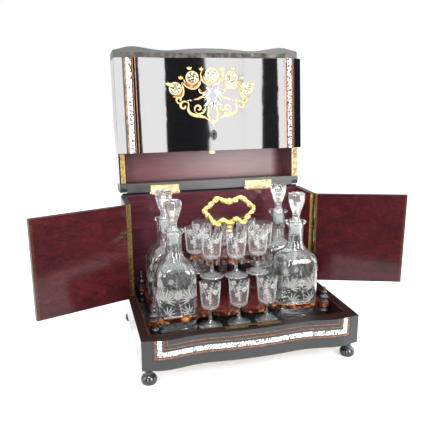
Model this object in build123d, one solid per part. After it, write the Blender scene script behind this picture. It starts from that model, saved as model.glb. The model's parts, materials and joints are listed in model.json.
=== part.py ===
from build123d import *
import math
import os

# Antique liqueur cabinet (cave a liqueur): a box on bun feet whose lid, front panel and two sides
# open round a lift-out caddy of decanters and glasses.  All sizes in millimetres.
# Modelling frame: x to the right, y to the back from the front corners, z up from the floor.
# The cabinet is first laid out closed; the lid, panel and doors are then turned to their rest pose.

# ---------------------------------------------------------------- driving dimensions: carcass
BASE_W = 330.0            # width of the base over its sides
DEPTH = 238.0             # front corners to the rear face
FOOT_H = 25.0             # turned foot, floor to base
FOOT_INSET = 10.5         # foot centre inside the base corner
BASE_H = 45.0             # height of the base box
BASE_SIDE_T = 12.7        # thickness of the base sides
BASE_BACK_T = 12.7        # thickness of the base back
FRONT_LEDGE = 3.7         # the base front reaches this far behind the closed panel
BOTTOM_T = 8.0            # bottom board
WELL_DEPTH = 33.0         # base top to the lined floor of the well
LINING_T = 1.2            # veneer lining of the well
LINING_DROP = 1.0         # its upper edge below the base top
BODY_INSET = 1.5          # the case above stands this far in from each base side
OPENING_H = 156.3         # base top to the lid hinge line
PANEL_T = 12.3            # falling front panel, at its corners
DOOR_T = 9.0              # side doors and the fixed side returns
BACK_T = 12.0             # back board
RETURN_L = 73.0           # fixed side return, rear face to door hinge line
JOINT_GAP = 0.3           # gap between closing edges

# ---------------------------------------------------------------- driving dimensions: lid
RIM_H = 52.0              # rims below the lid board
LID_BOARD_T = 8.0         # lid board
RIM_SIDE_T = 12.0         # side rims
RIM_REAR_T = 15.5         # rear rim
RIM_ROUND = 9.0           # rounded hinge end of the side rims
END_PLATE_L = 57.5        # brass end plates let into the side rims
END_PLATE_W = 8.0
END_PLATE_T = 1.2
END_PLATE_IN = 2.5        # from the outer face
LID_OPEN = 95.74          # lid, degrees open from closed
PANEL_FOLD = 90.0         # front panel, degrees folded back under the open lid
DOOR_OPEN = 70.4          # side doors, degrees open from closed
DOOR_FULL = 170.0         # side doors, widest opening

# ---------------------------------------------------------------- driving dimensions: front wave
WAVE = [(147.0, 3.9), (130.0, 6.2), (104.0, 2.9), (77.0, 0.2), (40.0, 2.6), (0.0, 4.1)]  # x, forward
WAVE_PEAK = max(forward for _, forward in WAVE)

# ---------------------------------------------------------------- driving dimensions: hinges and lock
LEAF_T = 0.8              # hinge leaf thickness
FIT = 0.05                # radial running fit of pins in knuckles
LID_KNUCKLE_R = 2.0
LID_PIN_R = 1.1
LID_AXIS_OUT = 2.3        # lid hinge axis behind the rear face
LID_LEAF_W = 50.0         # each of the two lid hinges
LID_LEAF_X = 86.0         # their centres
LID_LEAF_REACH = 11.0     # how far a leaf reaches over the rim edge
SCREW_R = 1.6             # countersunk head
SCREW_L = 8.0
SCREW_PITCH = 17.0
FRONT_KNUCKLE_R = 1.5
FRONT_PIN_R = 0.8
FRONT_LEAF_REACH = 9.0    # its leaves into the rim and the panel edge
FRONT_LEAF_END = 1.0      # its ends short of the side rims
FRONT_AXIS_IN = 1.8       # front panel hinge axis behind the panel's inner face
DOOR_KNUCKLE_R = 1.6
DOOR_PIN_R = 0.85
DOOR_AXIS_OUT = 1.9       # door hinge axis outside the side face
LOCK_W = 56.0             # lock case in the front panel
LOCK_X = -12.0            # its middle
LOCK_H = 30.0
LOCK_T = 7.0
BOLT_X = (-7.0, 4.0)      # bolt of the lock, side to side
BOLT_T = 3.4
BOLT_IN = 4.15            # middle of the bolt, in front of the panel's inner face
BOLT_THROW = 5.2          # how far the bolt stands out below the panel
BOLT_TAIL = 14.0          # length of the bolt inside the lock
MORTISE_ROOM = 1.5        # mortise wider than the bolt, each side
KEYHOLE_DROP = 129.0      # panel top to the keyhole's centre
KEYHOLE_R = 1.7           # round part of the keyhole
KEYHOLE_SLOT = (1.8, 6.0)         # straight part, across and down
ESCUTCHEON_R = (6.0, 9.0)         # half axes of the oval escutcheon
STRIKE_W = 84.0           # strike plate on the base front
STRIKE_Y = (PANEL_T - LOCK_T, PANEL_T + 1.3)      # under the lock case of the closed panel
STRIKE_T = 1.2

# ---------------------------------------------------------------- driving dimensions: inlay
INLAY_T = 0.8             # depth of the inlaid strips
COPPER_X = (145.0, 150.5)     # outer metal band, distance from the centre line
PEARL_X = (136.5, 144.5)      # shell band
LINES_X = ((129.2, 130.6), (133.6, 135.0))    # pair of fine metal lines
COPPER_DROP = (26.3, 31.5)    # the same bands along the base, below the base top
PEARL_DROP = (16.5, 25.5)
LINES_DROP = ((7.0, 8.4), (12.4, 14.0))
CARTOUCHE_DROP = (15.0, 113.0)    # ornament on the panel, below the panel's top
CARTOUCHE_HALF = (62.0, 34.0)     # half axes of its oval field
ROSETTE_ARC = (60.0, 34.0)        # half axes of the arc of the five rosettes
ROSETTE_STEP = 38.0               # degrees between them
ROSETTE_R = 13.0
PENDANT_R = 10.0                  # drop at the ornament's foot
PENDANT_DROP = 38.0

# ---------------------------------------------------------------- driving dimensions: caddy
CADDY_Y = 136.0           # centre of the caddy
CADDY_BASE_T = 3.7
TIER_DROP = 2.06          # top of the lower tier below the bowls of the standing glasses
TIER_T = 6.5
TIER_IN = (1.0, 7.0)      # board edges inside the ear centres, across and front to back
LOBE_R = 19.0             # scallops of the lower tier
LOBE_IN = 12.0            # their centres inside its edge
LOBE_X = 23.0             # the two lobes at the middle
BITE_R = 9.0              # hollows at the stem slots
BITE_OUT = 5.0
FRAME_T = 4.5             # board left round each decanter well
FRAME_CORNER = 22.0
WAIST_R = 20.0            # hollow at each end
WAIST_OUT = 14.0
WELL_ROOM = 3.0           # decanter well wider than the decanter
UPPER_CORE = (112.0, 62.0, 20.0)  # upper tier without its lobes: width, depth, corner
UPPER_LOBE_R = 14.0
TENON_R = 3.0             # corner posts through the lower tier
EAR_X = 137.0             # corner posts of the caddy
EAR_DY = 74.0
EAR_R = 8.5
HANDLE_TOP = 157.0        # boss of the handle above the base top
HANDLE_BAR_R = 3.0
HANDLE_PATH = [(0.0, -41.0), (9.5, -30.0), (24.0, -37.0), (44.5, -14.0), (22.0, 4.0), (0.0, 0.0)]
ROD_R = 3.0
SOCKET_R = 4.6            # socket under the handle, on the rod
SOCKET_H = 12.0
COLUMN_X = 20.0
COLUMN_DY = 8.0

# ---------------------------------------------------------------- driving dimensions: glass
DECANTER_X = 99.5
DECANTER_DY = 39.0        # rows in front of and behind the caddy's centre
DECANTER_W = 62.0
DECANTER_CORNER = 14.0
DECANTER_BODY_H = 95.0
DECANTER_SHOULDER_H = 28.0
DECANTER_NECK_R = 14.0
DECANTER_LIP_R = 17.0
DECANTER_H = 157.0        # to the lip
DECANTER_WALL = 3.5
DECANTER_FLOOR = 8.0
BORE_R = 8.5
STOPPER_H = 45.0          # above the lip
STOPPER_PEG = 22.0        # below the lip
STOPPER_R = 14.0
STOPPER_FIT = 0.1
GLASS_H = 73.0
GLASS_BOWL_R = 16.5
GLASS_BOWL_H = 42.0
GLASS_WALL = 1.3
GLASS_FOOT_R = 18.7
GLASS_STEM_R = 2.4
FLARE_R = 3.6             # top of the stem, where it widens into the bowl
FLARE_DROP = 1.2          # that place below the bowl
FLARE_H = 4.0             # where the widening starts, below the bowl
SLOT_GAP = 1.0            # slot wider than the stem, each side
RIM_CLEARANCE = 1.0       # feet of the hung glasses above the rims of the standing ones
SEAT_GAP = 0.06           # standing gap between glass and wood
GLASS_TRAVEL = 38.0       # travel that clears a glass of its slot

# name, x, y, slot direction
LOWER_GLASSES = [("left", -46.5, 81.0), ("centre", 0.0, 81.0), ("right", 46.5, 81.0)]
UPPER_GLASSES = [("front_left", -38.0, 103.6, -90.0), ("front_centre", 0.0, 97.0, -90.0),
                 ("front_right", 38.0, 103.6, -90.0), ("side_left", -57.5, CADDY_Y, 180.0),
                 ("side_right", 57.5, CADDY_Y, 0.0), ("rear_left", -38.0, 168.4, 90.0),
                 ("rear_centre", 0.0, 168.4, 90.0), ("rear_right", 38.0, 168.4, 90.0)]

# ---------------------------------------------------------------- derived places
BASE_TOP = FOOT_H + BASE_H
PIN_Z = BASE_TOP + OPENING_H
HALF_BASE = BASE_W / 2
BASE_FRONT_T = PANEL_T + FRONT_LEDGE         # thickness of the base front at its corners
HALF_BODY = HALF_BASE - BODY_INSET
LID_AXIS_Y = DEPTH + LID_AXIS_OUT
FRONT_AXIS_Y = PANEL_T + FRONT_AXIS_IN
DOOR_AXIS_X = HALF_BODY + DOOR_AXIS_OUT
DOOR_AXIS_Y = DEPTH - RETURN_L
WELL_FLOOR = BASE_TOP - WELL_DEPTH
LID_TOP = PIN_Z + RIM_H + LID_BOARD_T
LEAN = math.radians(LID_OPEN)
REAR_MOST = (LID_AXIS_Y + (LID_AXIS_Y + WAVE_PEAK) * -math.cos(LEAN)
             + (RIM_H + LID_BOARD_T) * math.sin(LEAN))
ORIGIN_Y = (REAR_MOST - WAVE_PEAK) / 2       # middle of the open cabinet, front to back
CADDY_FLOOR = WELL_FLOOR + JOINT_GAP + CADDY_BASE_T
STAND_Z = CADDY_FLOOR + SEAT_GAP             # what stands in the caddy stands here
HANG_Z = STAND_Z + GLASS_H + RIM_CLEARANCE   # feet of the hung glasses
SLOT_R = GLASS_STEM_R + SLOT_GAP
SEAT_DROP = FLARE_DROP + (FLARE_R - SLOT_R) * (FLARE_H - FLARE_DROP) / (FLARE_R - GLASS_STEM_R)
LOWER_TOP = STAND_Z + GLASS_H - GLASS_BOWL_H - TIER_DROP      # top of the lower tier
UPPER_TOP = HANG_Z + GLASS_H - GLASS_BOWL_H - SEAT_DROP - SEAT_GAP      # top of the upper tier
LID_AXIS = Axis((0, LID_AXIS_Y, PIN_Z), (1, 0, 0))
FRONT_AXIS = Axis((0, FRONT_AXIS_Y, PIN_Z), (1, 0, 0))

parts = {}


# ---------------------------------------------------------------- helpers
def block(x0, x1, y0, y1, z0, z1):
    """Box between two corners."""
    return Pos((x0 + x1) / 2, (y0 + y1) / 2, (z0 + z1) / 2) * Box(x1 - x0, y1 - y0, z1 - z0)


def wave_plate(half, back_y, z0, z1, inset=0.0):
    """Board with the serpentine front edge, straight sides and a straight back."""
    side = [(-x, inset - forward) for x, forward in WAVE[:-1]]
    middle = [(0.0, inset - WAVE[-1][1])]
    points = side + middle + [(-x, y) for x, y in reversed(side)]
    left, right = (-half, inset), (half, inset)
    edges = Spline(*points) + Line(left, points[0]) + Line(points[-1], right)
    edges += Polyline(right, (half, back_y), (-half, back_y), left)
    return Pos(0, 0, z0) * extrude(make_face(edges), z1 - z0)


def turned(profile):
    """Solid of revolution about +Z from (radius, height) points, closed along the axis."""
    outline = [(0.0, profile[0][1])] + list(profile) + [(0.0, profile[-1][1])]
    face = make_face(Polyline(*outline, close=True))
    return revolve(Plane.XZ * face, Axis.Z)


def knuckles(length, count, own, radius, pin_radius, with_pin):
    """Every second knuckle along local X, with the riveted pin or with its bore."""
    pitch = length / count
    solid = None
    for index in range(own, count, 2):
        start = -length / 2 + index * pitch + JOINT_GAP / 2
        barrel = Cylinder(radius, pitch - JOINT_GAP, align=(Align.CENTER, Align.CENTER, Align.MIN))
        placed = Pos(start, 0, 0) * Rot(0, 90, 0) * barrel
        solid = placed if solid is None else solid + placed
    rod_radius = pin_radius if with_pin else pin_radius + FIT
    rod = Rot(0, 90, 0) * Cylinder(rod_radius, length - JOINT_GAP if with_pin else length + 2)
    return solid + rod if with_pin else solid - rod


def leaf(length, count, own, radius, pin_radius, reach, side, with_pin):
    """Half a butt hinge: axis along local X, plate towards -Y, above (side 1) or below (-1)."""
    low, high = sorted((side * JOINT_GAP / 2, side * (JOINT_GAP / 2 + LEAF_T)))
    plate = block(-length / 2, length / 2, -reach, -radius * 0.7, low, high)
    pitch = length / count
    for index in range(1 - own, count, 2):
        start = -length / 2 + index * pitch
        plate -= block(start - JOINT_GAP / 2, start + pitch + JOINT_GAP / 2,
                       -radius - JOINT_GAP, 0, -2 * radius, 2 * radius)
    return plate + knuckles(length, count, own, radius, pin_radius, with_pin)


def solids(*shapes):
    """Separate solids kept in one node."""
    found = []
    for shape in shapes:
        found += list(shape.solids())
    return Compound(found) if len(found) > 1 else found[0]


def mirrored(shape):
    """The same piece on the other side of the cabinet."""
    return mirror(shape, about=Plane.YZ)


def open_lid(shape):
    """Turn a closed lid piece to its rest pose."""
    return shape.rotate(LID_AXIS, -LID_OPEN)


def fold_panel(shape):
    """Fold a closed front panel piece under the lid and turn both to the rest pose."""
    return open_lid(shape.rotate(FRONT_AXIS, PANEL_FOLD))


def save(name, shape):
    """Move a piece to the row frame and keep it under its node name."""
    parts[name] = Pos(0, -ORIGIN_Y, 0) * shape


# ---------------------------------------------------------------- base
def u_bands(skin, x_range, drop_range):
    """U-shaped inlay band on the base front: two uprights and a run between them."""
    x0, x1 = x_range
    d0, d1 = drop_range
    run = block(-x1, x1, -20, 20, BASE_TOP - d1, BASE_TOP - d0)
    upright = block(x0, x1, -20, 20, BASE_TOP - d1, BASE_TOP + 1)
    return skin & (run + upright + mirrored(upright))


def base():
    """Base box with its bottom, lining, feet, inlay and strike plate."""
    front = wave_plate(HALF_BASE, BASE_FRONT_T, FOOT_H, BASE_TOP)
    skin = front - Pos(0, INLAY_T, 0) * front
    copper = solids(u_bands(skin, COPPER_X, COPPER_DROP),
                    *[u_bands(skin, x, d) for x, d in zip(LINES_X, LINES_DROP)])
    pearl = u_bands(skin, PEARL_X, PEARL_DROP)
    strike = block(-STRIKE_W / 2, STRIKE_W / 2, *STRIKE_Y, BASE_TOP - STRIKE_T, BASE_TOP)
    bolt_y = PANEL_T - BOLT_IN
    mortise = block(BOLT_X[0] - MORTISE_ROOM, BOLT_X[1] + MORTISE_ROOM, bolt_y - BOLT_T / 2 - MORTISE_ROOM,
                    bolt_y + BOLT_T / 2 + MORTISE_ROOM, BASE_TOP - BOLT_THROW - MORTISE_ROOM, BASE_TOP + 1)
    save("base_front", front - copper - pearl - strike - mortise)
    save("base_inlay_copper", copper)
    save("base_inlay_pearl", pearl)
    save("strike_plate", strike - mortise)
    back_y = DEPTH - BASE_BACK_T
    side = block(HALF_BASE - BASE_SIDE_T, HALF_BASE, BASE_FRONT_T, back_y, FOOT_H, BASE_TOP)
    save("base_sides", solids(mirrored(side), side))
    save("base_back", block(-HALF_BASE, HALF_BASE, back_y, DEPTH, FOOT_H, BASE_TOP))
    inner = HALF_BASE - BASE_SIDE_T
    bottom_z = FOOT_H + BOTTOM_T
    save("bottom_board", block(-inner, inner, BASE_FRONT_T, back_y, FOOT_H, WELL_FLOOR - LINING_T))
    lining_top = BASE_TOP - LINING_DROP
    strip = block(inner - LINING_T, inner, BASE_FRONT_T, back_y, WELL_FLOOR, lining_top)
    end = block(-inner + LINING_T, inner - LINING_T, BASE_FRONT_T, BASE_FRONT_T + LINING_T,
                WELL_FLOOR, lining_top)
    rear = Pos(0, back_y - BASE_FRONT_T - LINING_T, 0) * end
    floor = block(-inner, inner, BASE_FRONT_T, back_y, WELL_FLOOR - LINING_T, WELL_FLOOR)
    save("well_lining", solids(floor, strip, mirrored(strip), end, rear))


def feet():
    """Four turned bun feet with flat undersides."""
    ball = [(7.0, 0.0), (10.0, 1.6), (11.4, 5.0), (11.6, 8.0), (10.6, 12.0), (8.0, 15.2), (6.2, 16.6),
            (6.2, 20.0), (8.4, 22.0), (8.6, FOOT_H)]
    foot = turned(ball)
    out = HALF_BASE - FOOT_INSET
    places = [(x, y) for y in (FOOT_INSET, DEPTH - FOOT_INSET) for x in (-out, out)]
    save("feet", solids(*[Pos(x, y, 0) * foot for x, y in places]))


# ---------------------------------------------------------------- case above the base
def case():
    """Back board, fixed side returns and the fixed hinge leaves."""
    top = PIN_Z - JOINT_GAP / 2
    hinge = leaf(LID_LEAF_W, 3, 0, LID_KNUCKLE_R, LID_PIN_R, LID_LEAF_REACH + LID_AXIS_OUT, -1, True)
    leaves = [Pos(x, LID_AXIS_Y, PIN_Z) * hinge for x in (-LID_LEAF_X, LID_LEAF_X)]
    back = block(-HALF_BODY, HALF_BODY, DEPTH - BACK_T, DEPTH, BASE_TOP, top)
    save("back_board", back - leaves[0] - leaves[1])
    save("lid_fixed_leaves", solids(*leaves))
    edge_y = DOOR_AXIS_Y + JOINT_GAP / 2 + LEAF_T
    side = block(HALF_BODY - DOOR_T, HALF_BODY, edge_y, DEPTH - BACK_T, BASE_TOP, top)
    save("side_returns", solids(mirrored(side), side))
    jamb = door_leaf(1, 0, True)
    save("door_fixed_leaves", solids(mirrored(jamb), jamb))


def door_leaf(side, own, with_pin):
    """Full-height leaf of the right door's hinge; side 1 is the fixed leaf, -1 the door's."""
    length = OPENING_H - 4 * JOINT_GAP
    half = leaf(length, 7, own, DOOR_KNUCKLE_R, DOOR_PIN_R, DOOR_T + DOOR_AXIS_OUT, side, with_pin)
    upright = Location(Plane(origin=(0, 0, 0), x_dir=(0, 0, 1), z_dir=(0, 1, 0)))
    return Pos(DOOR_AXIS_X, DOOR_AXIS_Y, BASE_TOP + OPENING_H / 2) * upright * half


def doors():
    """Side doors, swung outwards on their full-height hinges."""
    leaf_edge = DOOR_AXIS_Y - JOINT_GAP / 2 - LEAF_T
    board = block(HALF_BODY - DOOR_T, HALF_BODY, PANEL_T + 3 * JOINT_GAP, leaf_edge,
                  BASE_TOP + JOINT_GAP, PIN_Z - 1.5 * JOINT_GAP)
    axis = Axis((DOOR_AXIS_X, DOOR_AXIS_Y, 0), (0, 0, 1))
    board = board.rotate(axis, DOOR_OPEN)
    plate = door_leaf(-1, 1, False).rotate(axis, DOOR_OPEN)
    save("right_door", board)
    save("right_door_leaf", plate)
    save("left_door", mirrored(board))
    save("left_door_leaf", mirrored(plate))


# ---------------------------------------------------------------- lid
def lid():
    """Lid: board, four rims, lining, hinge leaves, end plates and screws."""
    low = PIN_Z + JOINT_GAP / 2
    rim_top = PIN_Z + RIM_H
    board = wave_plate(HALF_BODY, DEPTH, rim_top, LID_TOP)
    front = wave_plate(HALF_BODY, PANEL_T, low, rim_top)
    rear = block(-HALF_BODY, HALF_BODY, DEPTH - RIM_REAR_T, DEPTH, low, rim_top)
    side = block(HALF_BODY - RIM_SIDE_T, HALF_BODY, PANEL_T, DEPTH - RIM_REAR_T, low, rim_top)
    front_leaf = Pos(0, FRONT_AXIS_Y, PIN_Z) * front_hinge(0, 1, True)
    knock = leaf(LID_LEAF_W, 3, 1, LID_KNUCKLE_R, LID_PIN_R, LID_LEAF_REACH + LID_AXIS_OUT, 1, False)
    moving = [Pos(x, LID_AXIS_Y, PIN_Z) * knock for x in (-LID_LEAF_X, LID_LEAF_X)]
    screws = lid_screws(low)
    plate_x, plate_y = HALF_BODY - END_PLATE_IN, DEPTH - RIM_REAR_T - 1
    plate = block(plate_x - END_PLATE_W, plate_x, plate_y - END_PLATE_L, plate_y, low, low + END_PLATE_T)
    plates = [mirrored(plate), plate]
    save("lid_board", open_lid(board))
    save("lid_front_rim", open_lid(front - front_leaf))
    save("lid_side_rims", open_lid(solids(mirrored(side) - plates[0], side - plates[1])))
    rear -= rounded_ends(low)
    save("lid_rear_rim", open_lid(rear - moving[0] - moving[1] - screws))
    save("lid_moving_leaves", open_lid(solids(*[half - screws for half in moving])))
    save("lid_hinge_screws", open_lid(screws))
    save("lid_end_plates", open_lid(solids(*plates)))
    save("front_hinge_upper_leaf", open_lid(front_leaf))
    inner = HALF_BODY - RIM_SIDE_T
    save("lid_lining", open_lid(block(-inner, inner, PANEL_T, DEPTH - RIM_REAR_T,
                                      rim_top - LINING_T, rim_top)))


def lid_screws(low):
    """Countersunk screws through the moving leaves into the rear rim, three to a leaf."""
    screw = turned([(SCREW_R, 0.0), (SCREW_R * 0.55, LEAF_T), (SCREW_R * 0.5, SCREW_L)])
    y = DEPTH - LID_LEAF_REACH / 2
    offsets = (-SCREW_PITCH, 0.0, SCREW_PITCH)
    places = [centre + offset for centre in (-LID_LEAF_X, LID_LEAF_X) for offset in offsets]
    return solids(*[Pos(x, y, low) * screw for x in places])


def rounded_ends(low):
    """Waste cut from the rear rim so that its ends have rounded lower corners."""
    corner = block(-HALF_BODY, HALF_BODY, DEPTH - RIM_ROUND, DEPTH + 1, low - 1, low + RIM_ROUND)
    roller = Pos(0, DEPTH - RIM_ROUND, low + RIM_ROUND) * Rot(0, 90, 0) * Cylinder(RIM_ROUND, BASE_W)
    ends = corner - roller
    middle = HALF_BODY - RIM_SIDE_T
    return ends - block(-middle, middle, 0, DEPTH + 5, low - 2, LID_TOP)


def front_hinge(own, side, with_pin):
    """Long hinge between the lid's front rim and the falling front panel."""
    length = 2 * (HALF_BODY - RIM_SIDE_T - FRONT_LEAF_END)
    return leaf(length, 9, own, FRONT_KNUCKLE_R, FRONT_PIN_R, FRONT_AXIS_IN + FRONT_LEAF_REACH, side, with_pin)


# ---------------------------------------------------------------- front panel
def panel():
    """Falling front panel with inlay, ornament, lock and its hinge leaf."""
    top = PIN_Z - JOINT_GAP / 2
    low = BASE_TOP + JOINT_GAP
    board = wave_plate(HALF_BODY, PANEL_T, low, top)
    skin = board - Pos(0, INLAY_T, 0) * board
    copper = [upright_band(skin, x, low, top) for x in (COPPER_X, *LINES_X)]
    pearl = upright_band(skin, PEARL_X, low, top)
    ornament = skin & cartouche_mould(top)
    keyhole_z = top - KEYHOLE_DROP
    plate = Pos(0, 0, keyhole_z) * extrude(Plane.XZ * Ellipse(*ESCUTCHEON_R), 20, both=True)
    sketch = Pos(0, 2.0) * Circle(KEYHOLE_R) + Pos(0, -2.0) * Rectangle(*KEYHOLE_SLOT)
    hole = extrude(Plane.XZ * sketch, 20, both=True)
    hole = Pos(0, 0, keyhole_z) * hole
    escutcheon = (skin & plate) - hole
    lock_y = PANEL_T - LOCK_T
    case_block = block(LOCK_X - LOCK_W / 2, LOCK_X + LOCK_W / 2, lock_y, PANEL_T, low, low + LOCK_H)
    bolt_y = PANEL_T - BOLT_IN
    bolt = block(*BOLT_X, bolt_y - BOLT_T / 2, bolt_y + BOLT_T / 2, low - BOLT_THROW, low + BOLT_TAIL)
    channel = block(BOLT_X[0] - JOINT_GAP, BOLT_X[1] + JOINT_GAP, bolt_y - BOLT_T / 2 - JOINT_GAP,
                    bolt_y + BOLT_T / 2 + JOINT_GAP, low - 1, low + BOLT_TAIL + BOLT_THROW + JOINT_GAP)
    lower_leaf = Pos(0, FRONT_AXIS_Y, PIN_Z) * front_hinge(1, -1, False)
    inlaid = solids(*copper)
    save("front_panel", fold_panel(board - inlaid - pearl - ornament - (skin & plate) - hole
                                   - case_block - lower_leaf))
    save("panel_inlay_copper", fold_panel(inlaid))
    save("panel_inlay_pearl", fold_panel(solids(pearl)))
    save("panel_cartouche", fold_panel(ornament))
    save("keyhole_escutcheon", fold_panel(escutcheon))
    save("lock_case", fold_panel(case_block - channel - hole))
    save("lock_bolt", fold_panel(bolt))
    save("front_hinge_lower_leaf", fold_panel(lower_leaf))


def upright_band(skin, x_range, low, top):
    """A pair of upright inlay bands on the front panel."""
    band = block(*x_range, -20, 20, low, top)
    return skin & (band + mirrored(band))


def cartouche_mould(top):
    """Prism of the ornament's outline: a shield with five rosettes along its upper edge."""
    z_mid = top - (CARTOUCHE_DROP[0] + CARTOUCHE_DROP[1]) / 2
    outline = Ellipse(*CARTOUCHE_HALF)
    for index in range(5):
        turn = math.radians(90 + (index - 2) * ROSETTE_STEP)
        outline += Pos(math.cos(turn) * ROSETTE_ARC[0], math.sin(turn) * ROSETTE_ARC[1]) * Circle(ROSETTE_R)
    outline += Pos(0, -PENDANT_DROP) * Circle(PENDANT_R)
    return Pos(0, 0, z_mid) * extrude(Plane.XZ * outline, 20, both=True)


# ---------------------------------------------------------------- caddy
def slot(x, y, direction, reach, z0, z1):
    """Open slot for a glass stem, from the stem out through the board's edge."""
    channel = Pos(reach / 2, 0) * Rectangle(reach, 2 * SLOT_R) + Circle(SLOT_R)
    return Pos(x, y, z0) * Rot(0, 0, direction) * extrude(channel, z1 - z0)


def decanter_places():
    """Centres of the four decanters, with their names."""
    rows = (("front", CADDY_Y - DECANTER_DY), ("rear", CADDY_Y + DECANTER_DY))
    return [(f"{row}_{side}", sign * DECANTER_X, y) for row, y in rows
            for side, sign in (("left", -1), ("right", 1))]


def ear_places():
    """Corner posts of the caddy."""
    return [(sx * EAR_X, CADDY_Y + sy * EAR_DY) for sy in (-1, 1) for sx in (-1, 1)]


def lower_tier():
    """Scalloped lower board: corner ears, decanter wells and stem slots."""
    z1 = LOWER_TOP
    z0 = z1 - TIER_T
    half_x, half_y = EAR_X - TIER_IN[0], EAR_DY - TIER_IN[1]
    outline = Pos(0, CADDY_Y) * Rectangle(2 * half_x, 2 * half_y)
    for sign in (-1, 1):
        edge = CADDY_Y + sign * half_y
        for x in (-LOBE_X, LOBE_X):
            outline += Pos(x, edge - sign * LOBE_IN) * Circle(LOBE_R)
        for _, x, _ in LOWER_GLASSES:
            outline -= Pos(x, edge + sign * BITE_OUT) * Circle(BITE_R)
        outline -= Pos(sign * (half_x + WAIST_OUT), CADDY_Y) * Circle(WAIST_R)
    well_w = DECANTER_W + WELL_ROOM
    frame_w = well_w + 2 * FRAME_T
    for _, x, y in decanter_places():
        outline += Pos(x, y) * RectangleRounded(frame_w, frame_w, FRAME_CORNER)
    for x, y in ear_places():
        outline += Pos(x, y) * Circle(EAR_R)
    board = Pos(0, 0, z0) * extrude(outline, TIER_T)
    well = RectangleRounded(well_w, well_w, DECANTER_CORNER + WELL_ROOM / 3)
    for _, x, y in decanter_places():
        board -= Pos(x, y, z0) * extrude(well, TIER_T)
    for x, y in ear_places():
        board -= Pos(x, y, z0) * extrude(Circle(TENON_R), TIER_T)
    for _, x, y in LOWER_GLASSES:
        board -= slot(x, y, -90, GLASS_TRAVEL, z0, z1)
        board -= slot(x, 2 * CADDY_Y - y, 90, GLASS_TRAVEL, z0, z1)
    return board - Pos(0, CADDY_Y, z0) * extrude(Circle(ROD_R), TIER_T)


def upper_tier():
    """Scalloped upper board that hangs eight glasses by their bowls."""
    z1 = UPPER_TOP
    z0 = z1 - TIER_T
    outline = Pos(0, CADDY_Y) * RectangleRounded(*UPPER_CORE)
    for _, x, y, direction in UPPER_GLASSES:
        if direction in (0.0, 180.0):
            outline += Pos(x * 0.92, y) * Circle(UPPER_LOBE_R)
        else:
            outline += Pos(x, y) * Circle(UPPER_LOBE_R)
    board = Pos(0, 0, z0) * extrude(outline, TIER_T)
    for _, x, y, direction in UPPER_GLASSES:
        board -= slot(x, y, direction, GLASS_TRAVEL, z0, z1)
    return board - Pos(0, CADDY_Y, z0) * extrude(Circle(ROD_R), TIER_T)


def corner_post():
    """Turned post: spacer, tenon through the lower tier, and finial."""
    rise = LOWER_TOP - TIER_T - CADDY_FLOOR
    top = rise + TIER_T
    spacer = [(6.5, 0.0), (7.5, 0.13), (6.0, 0.27), (3.2, 0.36), (6.8, 0.53), (7.2, 0.67), (4.2, 0.87), (6.5, 0.96)]
    profile = [(radius, share * rise) for radius, share in spacer]
    profile += [(6.5, rise), (TENON_R, rise), (TENON_R, top), (6.5, top), (6.5, top + 2.0),
                (3.4, top + 4.0), (6.8, top + 8.0), (6.8, top + 10.0), (3.0, top + 14.0), (4.2, top + 16.0),
                (2.6, top + 19.0), (3.0, top + 22.0), (1.2, top + 26.0)]
    return turned(profile)


def column():
    """Turned column between the two tiers."""
    rise = UPPER_TOP - TIER_T - LOWER_TOP
    return turned([(5.0, 0.0), (5.0, 4.0), (3.0, 6.0), (4.4, 14.0), (3.2, 20.0), (4.0, 24.0), (2.8, 30.0),
                   (2.8, rise - 22), (4.2, rise - 14), (3.0, rise - 6), (5.0, rise - 4), (5.0, rise)])


def handle():
    """Cast loop handle: bars round a bat-shaped outline, with a boss and a socket."""
    loop = HANDLE_PATH + [(-x, z) for x, z in reversed(HANDLE_PATH[1:-1])]
    solid = Sphere(HANDLE_BAR_R * 1.5)
    for (x0, z0), (x1, z1) in zip(loop, loop[1:] + loop[:1]):
        length = math.hypot(x1 - x0, z1 - z0)
        turn = math.degrees(math.atan2(x1 - x0, z1 - z0))
        bar = Cylinder(HANDLE_BAR_R, length, align=(Align.CENTER, Align.CENTER, Align.MIN))
        solid += Pos(x0, 0, z0) * Rot(0, turn, 0) * bar
        solid += Pos(x0, 0, z0) * Sphere(HANDLE_BAR_R * 1.15)
    socket_z = HANDLE_PATH[0][1]
    solid += Pos(0, 0, socket_z - SOCKET_H / 3) * Cylinder(SOCKET_R, SOCKET_H)
    return Pos(0, CADDY_Y, BASE_TOP + HANDLE_TOP) * solid


def caddy():
    """Lift-out caddy with its boards, posts, columns, rod and handle."""
    reach_x, reach_y = EAR_X + EAR_R, EAR_DY + EAR_R
    sheet = RectangleRounded(2 * reach_x, 2 * reach_y, EAR_R)
    save("caddy_base_board", Pos(0, CADDY_Y, CADDY_FLOOR - CADDY_BASE_T) * extrude(sheet, CADDY_BASE_T))
    save("caddy_lower_tier", lower_tier())
    save("caddy_upper_tier", upper_tier())
    post = corner_post()
    save("caddy_corner_posts", solids(*[Pos(x, y, CADDY_FLOOR) * post for x, y in ear_places()]))
    pillar = column()
    places = [(sx * COLUMN_X, CADDY_Y + sy * COLUMN_DY) for sx in (-1, 1) for sy in (-1, 1)]
    save("caddy_columns", solids(*[Pos(x, y, LOWER_TOP) * pillar for x, y in places]))
    grip = handle()
    rod_top = BASE_TOP + HANDLE_TOP + HANDLE_PATH[0][1]
    rod = Pos(0, CADDY_Y, CADDY_FLOOR) * Cylinder(
        ROD_R, rod_top - CADDY_FLOOR, align=(Align.CENTER, Align.CENTER, Align.MIN))
    save("caddy_rod", rod)
    save("caddy_handle", grip - rod)


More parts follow.
